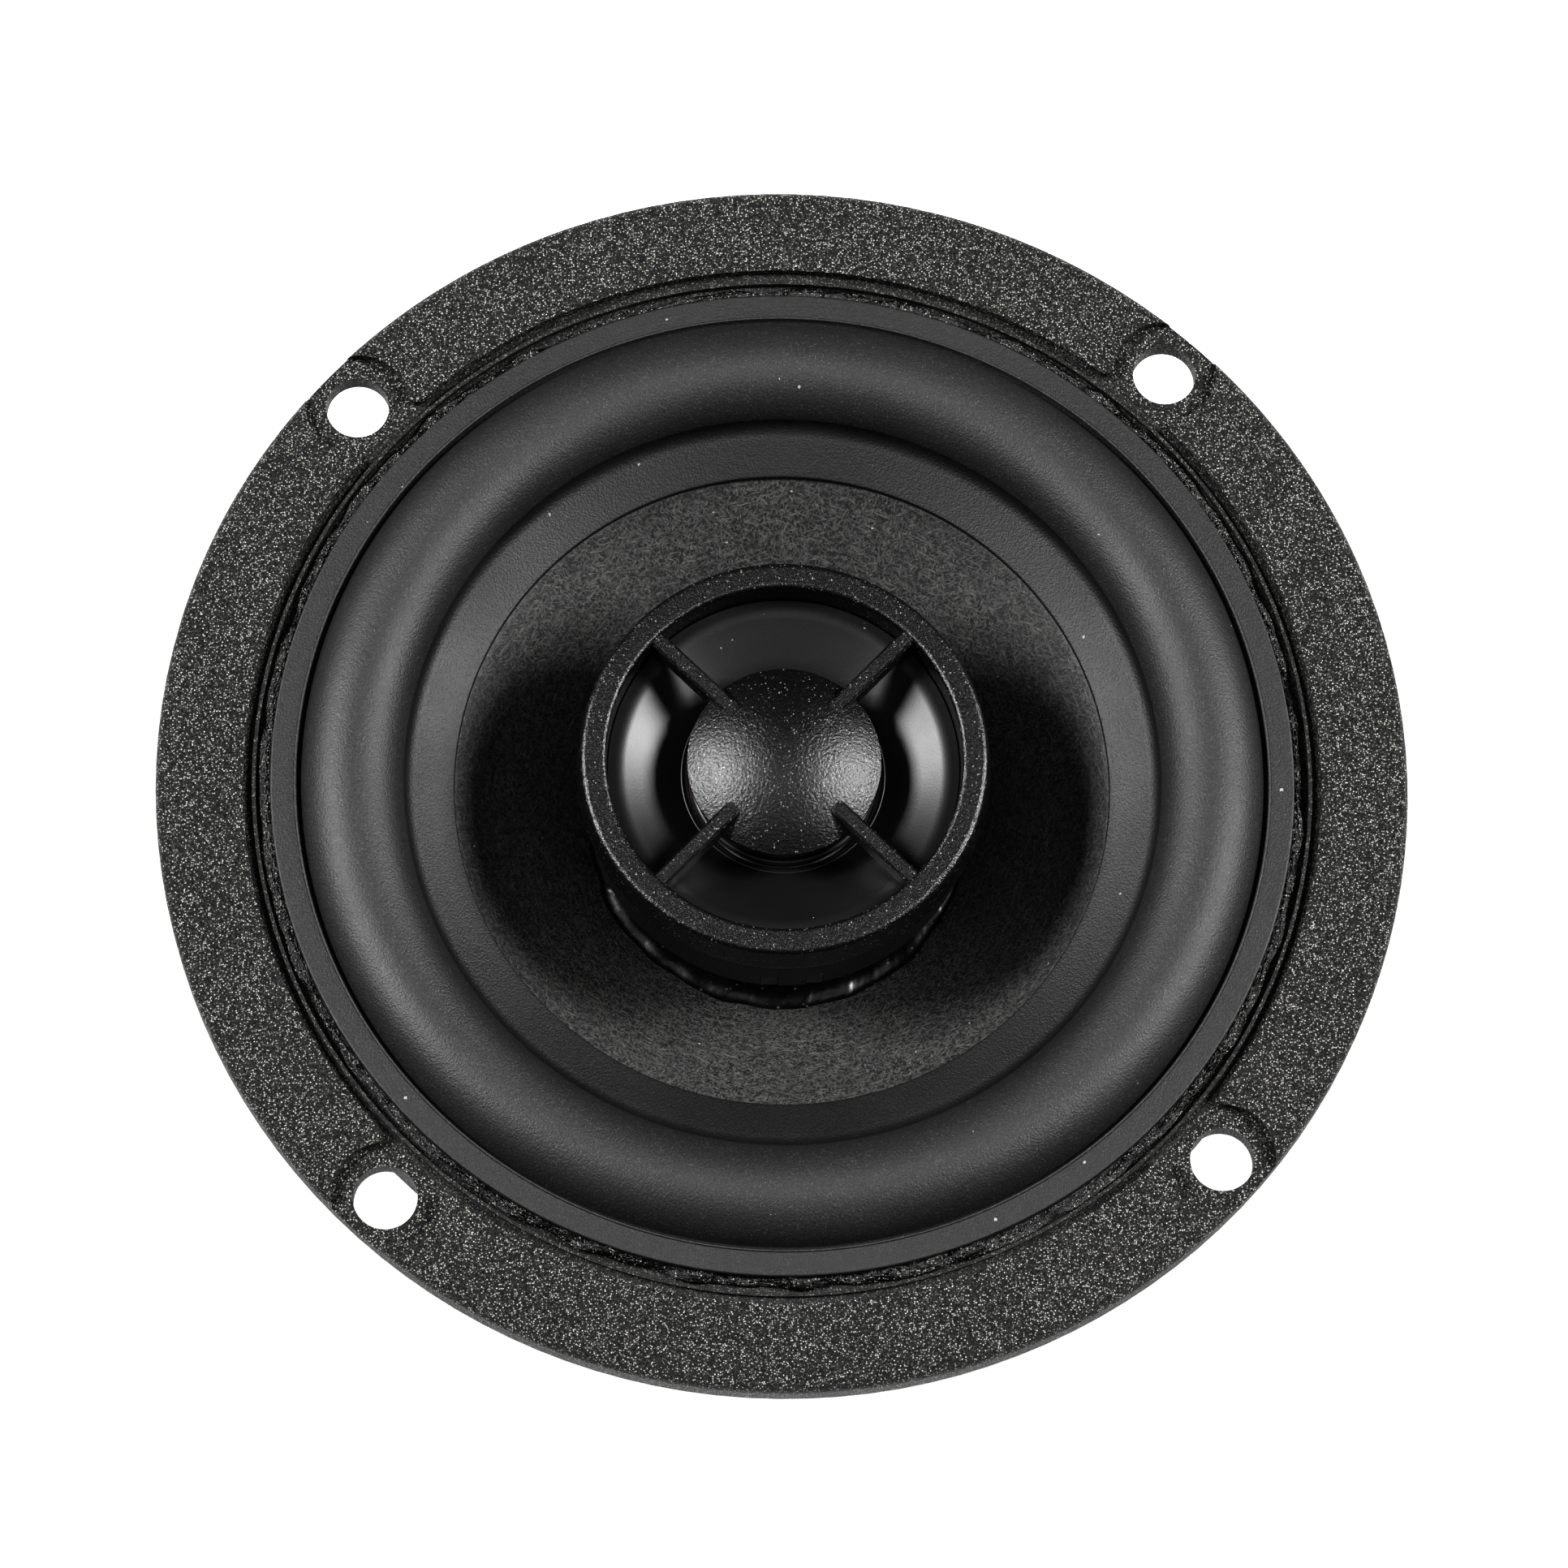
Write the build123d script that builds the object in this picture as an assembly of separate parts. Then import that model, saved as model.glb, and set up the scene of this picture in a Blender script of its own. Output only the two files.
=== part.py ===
from build123d import *
import math
import os

# Coaxial car speaker, 100 mm class. Millimetres, +Z out of the speaker's front.
# The origin is the centre of the mounting circle, on the flange's rear (mounting) face.

# ---- driving dimensions -------------------------------------------------------------------
# flange and basket
FLANGE_R = 51.0
FLANGE_T = 3.0
FLANGE_EDGE_ROUND = 0.8
FLANGE_INNER_R = 43.9
GROOVE_FLOOR_Z = 2.0
RIDGE_R = (42.9, 43.2)
RIDGE_TOP_Z = 2.4
SEAT_Z = 1.7
SEAT_INNER_R = 39.2
SPIGOT_R = 44.6
SPIGOT_H = 4.0
SCREW_PCD = 94.85
SCREW_HOLE_R = 2.6
SCREW_COUNT = 4
SCREW_ANGLE = 45.0
PAD_R = 4.3
PAD_FLOOR_Z = 2.05
PAD_MOUTH_ROUND = 0.7
BOWL_TOP_R = 41.0
BOWL_WALL = 1.9
SHELF_Z = -18.5
SHELF_R = (24.0, 29.6)
CUP_R = 28.5
BASE_T = 1.8
WINDOW_Z = (-17.0, -6.0)
WINDOW_HALF_ANGLE = 34.5
WINDOW_ROUND = 2.6
ARM_RIB_T = 2.0
ARM_RIB_H = 2.4

# motor
MOTOR_TOP_Z = -25.5
TOP_PLATE_T = 4.0
TOP_PLATE_R = 30.0
GAP_OUTER_R = 14.1
POLE_R = 12.3
POLE_BORE_R = 3.0
MAGNET_R = 32.5
MAGNET_HOLE_R = 17.0
MAGNET_T = 11.0
BACK_PLATE_T = 4.0
NUT_POCKET_R = 7.0
NUT_POCKET_DEPTH = 8.0
LEAD_GROOVE_W = 3.2
LEAD_GROOVE_DEPTH = 2.2
MOTOR_SCREW_R = 1.6
MOTOR_SCREW_HEAD_R = 3.0
MOTOR_SCREW_HEAD_H = 1.2
MOTOR_SCREW_CIRCLE_R = 19.8

# cone, surround, spider and voice coil
CONE_RIM = (30.4, 1.75)
CONE_LIP_END = (26.8, -0.95)
CONE_MID = (20.3, -7.2)
CONE_NECK = (13.0, -14.7)
CONE_T = 0.7
FORMER_R = (12.7, 13.0)
FORMER_Z = (-31.5, -12.4)
WINDING_R = 13.6
WINDING_H = 8.0
BEAD_OUTER_R = 16.4
LIP_OUTER_R = 41.7
LIP_INNER_R = 39.6
LIP_TOP_Z = 3.0
ROLL_OUTER = (39.3, 2.35)
ROLL_CREST = (35.05, 5.6)
ROLL_INNER = (30.8, 2.35)
RUBBER_T = 0.6
GLUE_GAP = 0.12
SPIDER_OUTER_R = 29.2
SPIDER_WAVE_R = (14.6, 24.2)
SPIDER_WAVES = 4
SPIDER_WAVE_H = 0.95
SPIDER_T = 0.45

# tweeter
GRILLE_TOP_Z = 8.0
GRILLE_R = (14.35, 16.45)
GRILLE_SKIRT_R = 16.8
GRILLE_SEAM_Z = 4.9
GRILLE_LIP_Z = 4.5
SPOKE_W = 1.3
SPOKE_Z = (5.7, 7.8)
SPOKE_INNER_R = 5.5
SPOKE_ANGLE = 43.0
CAP_SPHERE_R = 14.5
CAP_APEX_Z = 8.85
CAP_R = 7.85
CAP_T = 0.8
CAP_RIM_Z = 5.9
HOUSING_R = (14.4, 16.0)
HOUSING_Z = (-3.7, 4.9)
NOTCH_W = 1.45
NOTCH_OFFSET = 1.85
NOTCH_TOP_Z = -1.2
TWEETER_BASE_R = 14.35
TWEETER_BASE_T = 1.2
TWEETER_RIM_R = 15.6
TWEETER_RIM_H = 0.8
WAVEGUIDE_R = (8.1, 14.25)
WAVEGUIDE_Z = (2.6, 2.72, 4.85)
WAVEGUIDE_BEND = (12.9, 4.72)
DOME_RING_R = (8.1, 10.6)
DOME_RING_T = 0.7
T_YOKE_R = (7.5, 9.6)
T_YOKE_FLOOR_T = 1.2
T_MAGNET_R = 6.2
T_MAGNET_T = 1.7
T_WASHER_R = 6.55
T_FORMER_R = (6.85, 6.95)
T_COIL_R = 7.2
T_COIL_H = 1.5
DOME_H = 2.3
DOME_T = 0.2
DOME_ROLL_H = 0.45

# tweeter post
POST_R = 4.6
POST_FLANGE_R = 8.6
POST_FLANGE_T = 1.5
POST_SPIGOT_R = 2.95
POST_BORE_R = 1.7
NUT_FLATS = 10.0
NUT_H = 2.3

# terminals and wiring, on the -Y side
BOARD_W = 38.4
BOARD_Y = (-39.2, -31.2)
BOARD_T = 1.6
EAR_X = 16.25
EAR_W = 5.2
EAR_T = 1.4
EAR_ROOT_Y = -24.0
TAB_X = 10.5
TAB_BLADE_H = 8.0
POSITIVE_TAB = (6.3, 0.8)
NEGATIVE_TAB = (4.8, 0.8)
RIVET_R = 1.5
RIVET_HEAD_R = 2.4
RIVET_HEAD_H = 0.6
TAB_RIVET_Y = -34.6
CAPACITOR_R = 3.1
CAPACITOR_L = 9.5
CAPACITOR_Y = -36.0
CAPACITOR_WIRE_R = 0.3
LEAD_D = 0.9
LEAD_X = 0.7
LEAD_RISE_Y = -34.2
LEAD_BEND_R = 3.6
TINSEL_D = 1.0
EYELET_R = 1.3
EYELET_H = 1.8
EYELET_HOLE_R = 0.55
EYELET_X = 7.0
EYELET_CIRCLE_R = 18.9

# ---- derived places -----------------------------------------------------------------------
TOP_PLATE_Z = MOTOR_TOP_Z - TOP_PLATE_T
MAGNET_Z = TOP_PLATE_Z - MAGNET_T
REAR_Z = MAGNET_Z - BACK_PLATE_T
POCKET_Z = REAR_Z + NUT_POCKET_DEPTH
BOARD_TOP_Z = SHELF_Z - EAR_T
BOARD_BOTTOM_Z = BOARD_TOP_Z - BOARD_T
LEAD_GROOVE_Z = REAR_Z + LEAD_GROOVE_DEPTH / 2
T_BASE_TOP_Z = HOUSING_Z[0] + TWEETER_BASE_T
T_YOKE_TOP_Z = WAVEGUIDE_Z[0] - DOME_RING_T
WINDING_MID_Z = MOTOR_TOP_Z - TOP_PLATE_T / 2
SCREW_ANGLES = [SCREW_ANGLE + 360 / SCREW_COUNT * i for i in range(SCREW_COUNT)]
QUARTERS = [0, 90, 180, 270]


# ---- shared helpers -----------------------------------------------------------------------
def tube(outer_r, inner_r, low_z, high_z):
    """A plain ring about the Z axis."""
    solid = disc(outer_r, low_z, high_z)
    return solid - disc(inner_r, low_z - 1, high_z + 1)


def disc(radius, low_z, high_z, x=0.0, y=0.0):
    """A plain cylinder standing along Z."""
    bottom = (Align.CENTER, Align.CENTER, Align.MIN)
    return Pos(x, y, low_z) * Cylinder(radius, high_z - low_z, align=bottom)


def block(x_range, y_range, z_range):
    """A plain box from its three ranges."""
    size = [high - low for low, high in (x_range, y_range, z_range)]
    middle = [(high + low) / 2 for low, high in (x_range, y_range, z_range)]
    return Pos(*middle) * Box(*size)


def turned(edges):
    """The solid swept by a closed outline in the XZ plane, turned about Z."""
    return revolve(make_face(edges), axis=Axis.Z)


def outline(points):
    """A closed outline of straight runs in the XZ plane."""
    return Polyline(*[(r, 0, z) for r, z in points], close=True)


def line(start, end):
    return Line((start[0], 0, start[1]), (end[0], 0, end[1]))


def arc(start, through, end):
    return ThreePointArc((start[0], 0, start[1]), (through[0], 0, through[1]), (end[0], 0, end[1]))


def polar(radius, degrees):
    angle = math.radians(degrees)
    return radius * math.cos(angle), radius * math.sin(angle)


def below(point, drop):
    return point[0], point[1] - drop


def round_edges(solid, radius, height, circle_r):
    """Rounds the full circular edges of one radius at one height."""
    edges = [e for e in solid.edges().filter_by(GeomType.CIRCLE)
             if abs(e.center().Z - height) < 0.01 and abs(e.radius - circle_r) < 0.01]
    return fillet(edges, radius)


# ---- basket and motor ---------------------------------------------------------------------
def basket():
    bowl_top_z = -SPIGOT_H
    bowl_outer_r = SHELF_R[1] + BOWL_WALL
    body = turned(outline([
        (FLANGE_R, 0), (FLANGE_R, FLANGE_T), (FLANGE_INNER_R, FLANGE_T),
        (FLANGE_INNER_R, GROOVE_FLOOR_Z), (RIDGE_R[1], GROOVE_FLOOR_Z), (RIDGE_R[1], RIDGE_TOP_Z),
        (RIDGE_R[0], RIDGE_TOP_Z), (RIDGE_R[0], SEAT_Z), (SEAT_INNER_R, SEAT_Z),
        (SEAT_INNER_R, bowl_top_z), SHELF_R[1:] + (SHELF_Z,), SHELF_R[:1] + (SHELF_Z,),
        (SHELF_R[0], MOTOR_TOP_Z + BASE_T), (GAP_OUTER_R + 1.5, MOTOR_TOP_Z + BASE_T),
        (GAP_OUTER_R + 1.5, MOTOR_TOP_Z), (CUP_R, MOTOR_TOP_Z), (CUP_R, SHELF_Z - 3.6),
        (bowl_outer_r, SHELF_Z - 0.6), (BOWL_TOP_R, bowl_top_z), (SPIGOT_R, bowl_top_z), (SPIGOT_R, 0),
    ]))
    body = round_edges(body, FLANGE_EDGE_ROUND, FLANGE_T, FLANGE_R)
    for angle in QUARTERS:
        body -= Rot(0, 0, angle) * bowl_window()
    for angle in SCREW_ANGLES:
        x, y = polar(SCREW_PCD / 2, angle)
        body -= disc(PAD_R, PAD_FLOOR_Z, FLANGE_T + 1, x, y)
        body -= disc(SCREW_HOLE_R, -1, FLANGE_T, x, y)
        body += Rot(0, 0, angle) * arm_rib()
    mouths = [e for e in body.edges().filter_by(Axis.Z)
              if abs(math.hypot(e.center().X, e.center().Y) - FLANGE_INNER_R) < 0.05
              and e.center().Z > PAD_FLOOR_Z]
    body = fillet(mouths, PAD_MOUTH_ROUND)
    for side in (-1, 1):
        ear_x = (side * EAR_X - EAR_W / 2, side * EAR_X + EAR_W / 2)
        ear = block(ear_x, (BOARD_Y[0], EAR_ROOT_Y), (BOARD_TOP_Z, SHELF_Z))
        body += ear
        body -= disc(RIVET_R, BOARD_TOP_Z - 1, SHELF_Z + 1, side * EAR_X, TAB_RIVET_Y)
    for angle in SCREW_ANGLES:
        x, y = polar(MOTOR_SCREW_CIRCLE_R, angle)
        body -= disc(MOTOR_SCREW_R, MOTOR_TOP_Z - 1, MOTOR_TOP_Z + BASE_T + 1, x, y)
    return body


def bowl_window():
    """A wedge with rounded corners that leaves four arms when it is cut at each quarter."""
    reach = 60.0
    half = reach * math.tan(math.radians(WINDOW_HALF_ANGLE))
    corners = Polyline((0, 0), (reach, -half), (reach, half), close=True)
    wedge = Pos(0, 0, WINDOW_Z[0]) * extrude(make_face(corners), WINDOW_Z[1] - WINDOW_Z[0])
    radial = [e for e in wedge.edges() if abs(e.center().X - reach / 2) < 0.1]
    return fillet(radial, WINDOW_ROUND)


def arm_rib():
    """A stiffening rib down the outside of one arm."""
    high = (BOWL_TOP_R - 0.5, -SPIGOT_H + 0.5)
    low = (SHELF_R[1] + BOWL_WALL - 0.5, SHELF_Z - 0.5)
    edge = Polyline(
        (high[0], 0, high[1]), (high[0] + ARM_RIB_H, 0, high[1]),
        (low[0] + ARM_RIB_H, 0, low[1] + 1.5), (low[0], 0, low[1]), close=True)
    return extrude(make_face(edge), ARM_RIB_T / 2, both=True)


def top_plate():
    plate = tube(TOP_PLATE_R, GAP_OUTER_R, TOP_PLATE_Z, MOTOR_TOP_Z)
    for angle in SCREW_ANGLES:
        x, y = polar(MOTOR_SCREW_CIRCLE_R, angle)
        plate -= disc(MOTOR_SCREW_R, TOP_PLATE_Z - 1, MOTOR_TOP_Z + 1, x, y)
    return round_edges(plate, 0.4, MOTOR_TOP_Z, TOP_PLATE_R)


def magnet_ring():
    ring = tube(MAGNET_R, MAGNET_HOLE_R, MAGNET_Z, TOP_PLATE_Z)
    for height in (MAGNET_Z, TOP_PLATE_Z):
        ring = round_edges(ring, 0.8, height, MAGNET_R)
    return ring


def yoke():
    """Back plate and pole in one piece, bored for the tweeter post and its leads."""
    plate = disc(TOP_PLATE_R, REAR_Z, MAGNET_Z)
    plate = round_edges(plate, 1.0, REAR_Z, TOP_PLATE_R)
    body = plate + disc(POLE_R, MAGNET_Z, MOTOR_TOP_Z)
    body -= disc(POLE_BORE_R, REAR_Z - 1, MOTOR_TOP_Z + 1)
    body -= disc(NUT_POCKET_R, REAR_Z - 1, POCKET_Z)
    groove_x = (-LEAD_GROOVE_W / 2, LEAD_GROOVE_W / 2)
    body -= block(groove_x, (-TOP_PLATE_R - 1, 0), (REAR_Z - 1, REAR_Z + LEAD_GROOVE_DEPTH))
    return body


def motor_screws():
    """Four screws from the basket's base into the top plate."""
    screws = []
    for angle in SCREW_ANGLES:
        x, y = polar(MOTOR_SCREW_CIRCLE_R, angle)
        head_z = MOTOR_TOP_Z + BASE_T
        head = disc(MOTOR_SCREW_HEAD_R, head_z, head_z + MOTOR_SCREW_HEAD_H, x, y)
        head = fillet(head.edges().group_by(Axis.Z)[-1], 0.6)
        for turn in (0, 90):
            slot = Pos(x, y, head_z + MOTOR_SCREW_HEAD_H) * Rot(0, 0, turn) * Box(3.0, 0.7, 1.2)
            head -= slot
        screws.append(head + disc(MOTOR_SCREW_R, TOP_PLATE_Z, head_z, x, y))
    return Compound(children=screws)


# ---- cone, surround, spider, voice coil ---------------------------------------------------
def cone():
    rim_back = below(CONE_RIM, CONE_T)
    lip_back = below(CONE_LIP_END, CONE_T)
    mid_back = below(CONE_MID, CONE_T * 1.35)
    neck_back = below(CONE_NECK, CONE_T * 1.45)
    return turned([
        line(CONE_RIM, CONE_LIP_END), arc(CONE_LIP_END, CONE_MID, CONE_NECK),
        line(CONE_NECK, neck_back), arc(neck_back, mid_back, lip_back),
        line(lip_back, rim_back), line(rim_back, CONE_RIM),
    ])


def neck_adhesive():
    """The bead of glue round the former, lying on the cone's front."""
    slope = (CONE_LIP_END[1] - CONE_NECK[1]) / (CONE_LIP_END[0] - CONE_NECK[0])
    foot = (BEAD_OUTER_R, CONE_NECK[1] + (BEAD_OUTER_R - CONE_NECK[0]) * slope + 0.25)
    root = (CONE_NECK[0], CONE_NECK[1] + 0.25)
    crown = (CONE_NECK[0], root[1] + 1.9)
    shoulder = (BEAD_OUTER_R - 1.2, foot[1] + 0.15)
    return turned([line(root, foot), arc(foot, shoulder, crown), line(crown, root)])


def surround():
    """Rubber edge: flat outer lip, one half roll, and a lip that lies on the cone."""
    lip_bottom = (ROLL_OUTER[0] - RUBBER_T, SEAT_Z)
    roll_in_a = (ROLL_OUTER[0] - RUBBER_T, ROLL_OUTER[1] - 0.15)
    roll_in_b = (ROLL_INNER[0] + RUBBER_T, ROLL_INNER[1] - 0.15)
    crest_in = below(ROLL_CREST, RUBBER_T)
    cone_start = (CONE_RIM[0], CONE_RIM[1] + GLUE_GAP)
    cone_end = (CONE_LIP_END[0], CONE_LIP_END[1] + GLUE_GAP)
    lip_end_top = (CONE_LIP_END[0], CONE_LIP_END[1] + RUBBER_T)
    top_start = (CONE_RIM[0] - 0.2, CONE_RIM[1] + RUBBER_T - 0.02)
    return turned([
        line((LIP_OUTER_R, SEAT_Z), (LIP_OUTER_R, LIP_TOP_Z)),
        line((LIP_OUTER_R, LIP_TOP_Z), (LIP_INNER_R, LIP_TOP_Z)),
        line((LIP_INNER_R, LIP_TOP_Z), ROLL_OUTER),
        arc(ROLL_OUTER, ROLL_CREST, ROLL_INNER),
        line(ROLL_INNER, top_start), line(top_start, lip_end_top),
        line(lip_end_top, cone_end), line(cone_end, cone_start), line(cone_start, roll_in_b),
        arc(roll_in_b, crest_in, roll_in_a),
        line(roll_in_a, lip_bottom), line(lip_bottom, (LIP_OUTER_R, SEAT_Z)),
    ])


def spider():
    """Corrugated cloth disc: half waves as arcs between a collar and a flat rim."""
    collar_r = FORMER_R[1] + GLUE_GAP
    mid_z = SHELF_Z + SPIDER_T / 2
    step = (SPIDER_WAVE_R[1] - SPIDER_WAVE_R[0]) / (2 * SPIDER_WAVES)

    def face_edges(offset):
        edges = [line((collar_r, mid_z + offset), (SPIDER_WAVE_R[0], mid_z + offset))]
        for i in range(2 * SPIDER_WAVES):
            start = SPIDER_WAVE_R[0] + i * step
            height = SPIDER_WAVE_H if i % 2 == 0 else -SPIDER_WAVE_H
            peak = (start + step / 2, mid_z + height + offset)
            edges.append(arc((start, mid_z + offset), peak, (start + step, mid_z + offset)))
        edges.append(line((SPIDER_WAVE_R[1], mid_z + offset), (SPIDER_OUTER_R, mid_z + offset)))
        return edges

    half = SPIDER_T / 2
    inner_end = line((collar_r, mid_z + half), (collar_r, mid_z - half))
    outer_end = line((SPIDER_OUTER_R, mid_z + half), (SPIDER_OUTER_R, mid_z - half))
    return turned(face_edges(half) + face_edges(-half) + [inner_end, outer_end])


def voice_coil_former():
    return tube(FORMER_R[1], FORMER_R[0], FORMER_Z[0], FORMER_Z[1])


def voice_coil():
    low = WINDING_MID_Z - WINDING_H / 2
    return tube(WINDING_R, FORMER_R[1], low, low + WINDING_H)


# ---- tweeter ------------------------------------------------------------------------------
def cap_height(sphere_r, r):
    """Height, at one radius, of a sphere that shares the cap's centre."""
    return CAP_APEX_Z - CAP_SPHERE_R + math.sqrt(sphere_r ** 2 - r ** 2)


def grille_cap():
    """Shallow spherical shell with a flat rim."""
    inner_sphere_r = CAP_SPHERE_R - CAP_T
    rim_r = math.sqrt(inner_sphere_r ** 2 - (CAP_RIM_Z - CAP_APEX_Z + CAP_SPHERE_R) ** 2)
    top = [(r, cap_height(CAP_SPHERE_R, r)) for r in (0, CAP_R / 2, CAP_R)]
    under = [(r, cap_height(inner_sphere_r, r)) for r in (rim_r, rim_r / 2, 0)]
    return turned([
        arc(*top), line(top[-1], (CAP_R, CAP_RIM_Z)), line((CAP_R, CAP_RIM_Z), under[0]),
        arc(*under), line(under[-1], top[0]),
    ])


def tweeter_grille():
    """Trim ring, four spokes and the cap over the dome, moulded in one piece."""
    inner_r, outer_r = GRILLE_R
    ring = turned(outline([
        (inner_r, GRILLE_SEAM_Z), (inner_r, GRILLE_TOP_Z), (outer_r, GRILLE_TOP_Z),
        (GRILLE_SKIRT_R, GRILLE_SEAM_Z + 0.1), (GRILLE_SKIRT_R, GRILLE_LIP_Z),
        (HOUSING_R[1] + 0.05, GRILLE_LIP_Z), (HOUSING_R[1] + 0.05, GRILLE_SEAM_Z),
    ]))
    ring = round_edges(ring, 0.4, GRILLE_TOP_Z, inner_r)
    ring = round_edges(ring, 0.5, GRILLE_TOP_Z, outer_r)
    grille = ring + grille_cap()
    root_r = SPOKE_INNER_R + SPOKE_W / 2
    for i in range(4):
        arm = block((root_r, inner_r + 0.4), (-SPOKE_W / 2, SPOKE_W / 2), SPOKE_Z)
        arm = chamfer(arm.edges().filter_by(Axis.X).group_by(Axis.Z)[-1], 0.2)
        arm += disc(SPOKE_W / 2, SPOKE_Z[0], SPOKE_Z[1] - 0.1, root_r, 0)
        grille += Rot(0, 0, SPOKE_ANGLE + 90 * i) * arm
    return grille


def notch(radial, width, low_z, high_z):
    """Eight small blocks at the skirt's foot, a pair at each quarter."""
    blocks = []
    for angle in QUARTERS:
        for side in (-1, 1):
            middle = side * NOTCH_OFFSET
            y_range = (middle - width / 2, middle + width / 2)
            blocks.append(Rot(0, 0, angle) * block(radial, y_range, (low_z, high_z)))
    return blocks


def tweeter_housing():
    shell = tube(HOUSING_R[1], HOUSING_R[0], *HOUSING_Z)
    for cut in notch((HOUSING_R[0] - 1, HOUSING_R[1] + 1), NOTCH_W, HOUSING_Z[0] - 1, NOTCH_TOP_Z):
        shell -= cut
    return shell


def tweeter_base():
    """Disc that closes the housing from behind; its lugs fill the skirt's notches."""
    low = HOUSING_Z[0]
    body = disc(TWEETER_BASE_R, low, T_BASE_TOP_Z)
    for lug in notch((TWEETER_BASE_R - 1, HOUSING_R[1] - 0.15), NOTCH_W - 0.1, low, NOTCH_TOP_Z - 0.05):
        body += lug
    body += disc(TWEETER_RIM_R, low - TWEETER_RIM_H, low)
    body -= disc(POST_FLANGE_R + 0.05, low - TWEETER_RIM_H - 1, low)
    body -= disc(POST_BORE_R, low - 1, T_BASE_TOP_Z + 1)
    for side in (-1, 1):
        body -= disc(0.9, low - 1, T_BASE_TOP_Z + 1, side * 5.8, 0)
    return body


def tweeter_waveguide():
    """Short horn between the dome and the trim ring: a straight flare that levels out at its mouth."""
    throat_r, outer_r = WAVEGUIDE_R
    bottom_z, throat_z, mouth_z = WAVEGUIDE_Z
    bend_r, bend_z = WAVEGUIDE_BEND
    mouth_r = outer_r - 0.3
    return turned([
        line((throat_r, bottom_z), (throat_r, throat_z)),
        line((throat_r, throat_z), (bend_r, bend_z)),
        line((bend_r, bend_z), (mouth_r, mouth_z)),
        line((mouth_r, mouth_z), (outer_r, mouth_z)),
        line((outer_r, mouth_z), (outer_r, bottom_z)),
        line((outer_r, bottom_z), (throat_r, bottom_z)),
    ])


def tweeter_dome_ring():
    return tube(DOME_RING_R[1], DOME_RING_R[0], T_YOKE_TOP_Z, WAVEGUIDE_Z[0])


def tweeter_yoke():
    cup = disc(T_YOKE_R[1], T_BASE_TOP_Z, T_YOKE_TOP_Z)
    cup -= disc(T_YOKE_R[0], T_BASE_TOP_Z + T_YOKE_FLOOR_T, T_YOKE_TOP_Z + 1)
    return round_edges(cup, 0.5, T_BASE_TOP_Z, T_YOKE_R[1])


def tweeter_magnet():
    low = T_BASE_TOP_Z + T_YOKE_FLOOR_T
    return disc(T_MAGNET_R, low, low + T_MAGNET_T)


def tweeter_pole_washer():
    low = T_BASE_TOP_Z + T_YOKE_FLOOR_T + T_MAGNET_T
    return disc(T_WASHER_R, low, T_YOKE_TOP_Z)


def tweeter_coil_former():
    mid_z = T_YOKE_TOP_Z - 0.75
    return tube(T_FORMER_R[1], T_FORMER_R[0], mid_z - T_COIL_H / 2, WAVEGUIDE_Z[0])


def tweeter_coil():
    mid_z = T_YOKE_TOP_Z - 0.75
    return tube(T_COIL_R, T_FORMER_R[1], mid_z - T_COIL_H / 2, mid_z + T_COIL_H / 2)


def tweeter_dome():
    """Thin spherical cap standing on the coil former."""
    edge_r = T_FORMER_R[1]
    base_z = WAVEGUIDE_Z[0]
    sphere_r = (edge_r ** 2 + DOME_H ** 2) / (2 * DOME_H)
    centre_z = base_z + DOME_H - sphere_r
    shell = Pos(0, 0, centre_z) * Sphere(sphere_r) - Pos(0, 0, centre_z) * Sphere(sphere_r - DOME_T)
    return shell & disc(edge_r, base_z, base_z + DOME_H + 1)


def tweeter_dome_surround():
    inner_r = T_FORMER_R[1] + 0.1
    outer_r = DOME_RING_R[0] - 0.05
    base_z = WAVEGUIDE_Z[0] - 0.2
    middle = (inner_r + outer_r) / 2
    return turned([
        line((inner_r, base_z), (inner_r, base_z + 0.15)),
        arc((inner_r, base_z + 0.15), (middle, base_z + 0.15 + DOME_ROLL_H), (outer_r, base_z + 0.15)),
        line((outer_r, base_z + 0.15), (outer_r, base_z)),
        arc((outer_r, base_z), (middle, base_z + DOME_ROLL_H), (inner_r, base_z)),
    ])


# ---- tweeter post -------------------------------------------------------------------------
def tweeter_post():
    """Hollow pillar from the pole to the tweeter, with a threaded spigot through the pole."""
    top_z = HOUSING_Z[0]
    body = disc(POST_R, MOTOR_TOP_Z, top_z)
    body += disc(POST_FLANGE_R, top_z - POST_FLANGE_T, top_z)
    body = fillet([e for e in body.edges().filter_by(GeomType.CIRCLE)
                   if abs(e.radius - POST_R) < 0.01 and e.center().Z > top_z - POST_FLANGE_T - 0.01], 1.2)
    body += disc(POST_SPIGOT_R, POCKET_Z - NUT_H - 0.4, MOTOR_TOP_Z)
    body -= disc(POST_BORE_R, POCKET_Z - NUT_H - 1, top_z + 1)
    for side in (-1, 1):
        body -= disc(0.9, top_z - POST_FLANGE_T - 1, top_z + 1, side * 5.8, 0)
        body -= disc(1.7, top_z - POST_FLANGE_T - 1, top_z - POST_FLANGE_T + 0.5, side * 5.8, 0)
    return body


def post_nut():
    hexagon = RegularPolygon(NUT_FLATS / 2, 6, major_radius=False)
    nut = Pos(0, 0, POCKET_Z - NUT_H) * extrude(hexagon, NUT_H)
    return nut - disc(POST_SPIGOT_R, POCKET_Z - NUT_H - 1, POCKET_Z + 1)


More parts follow.
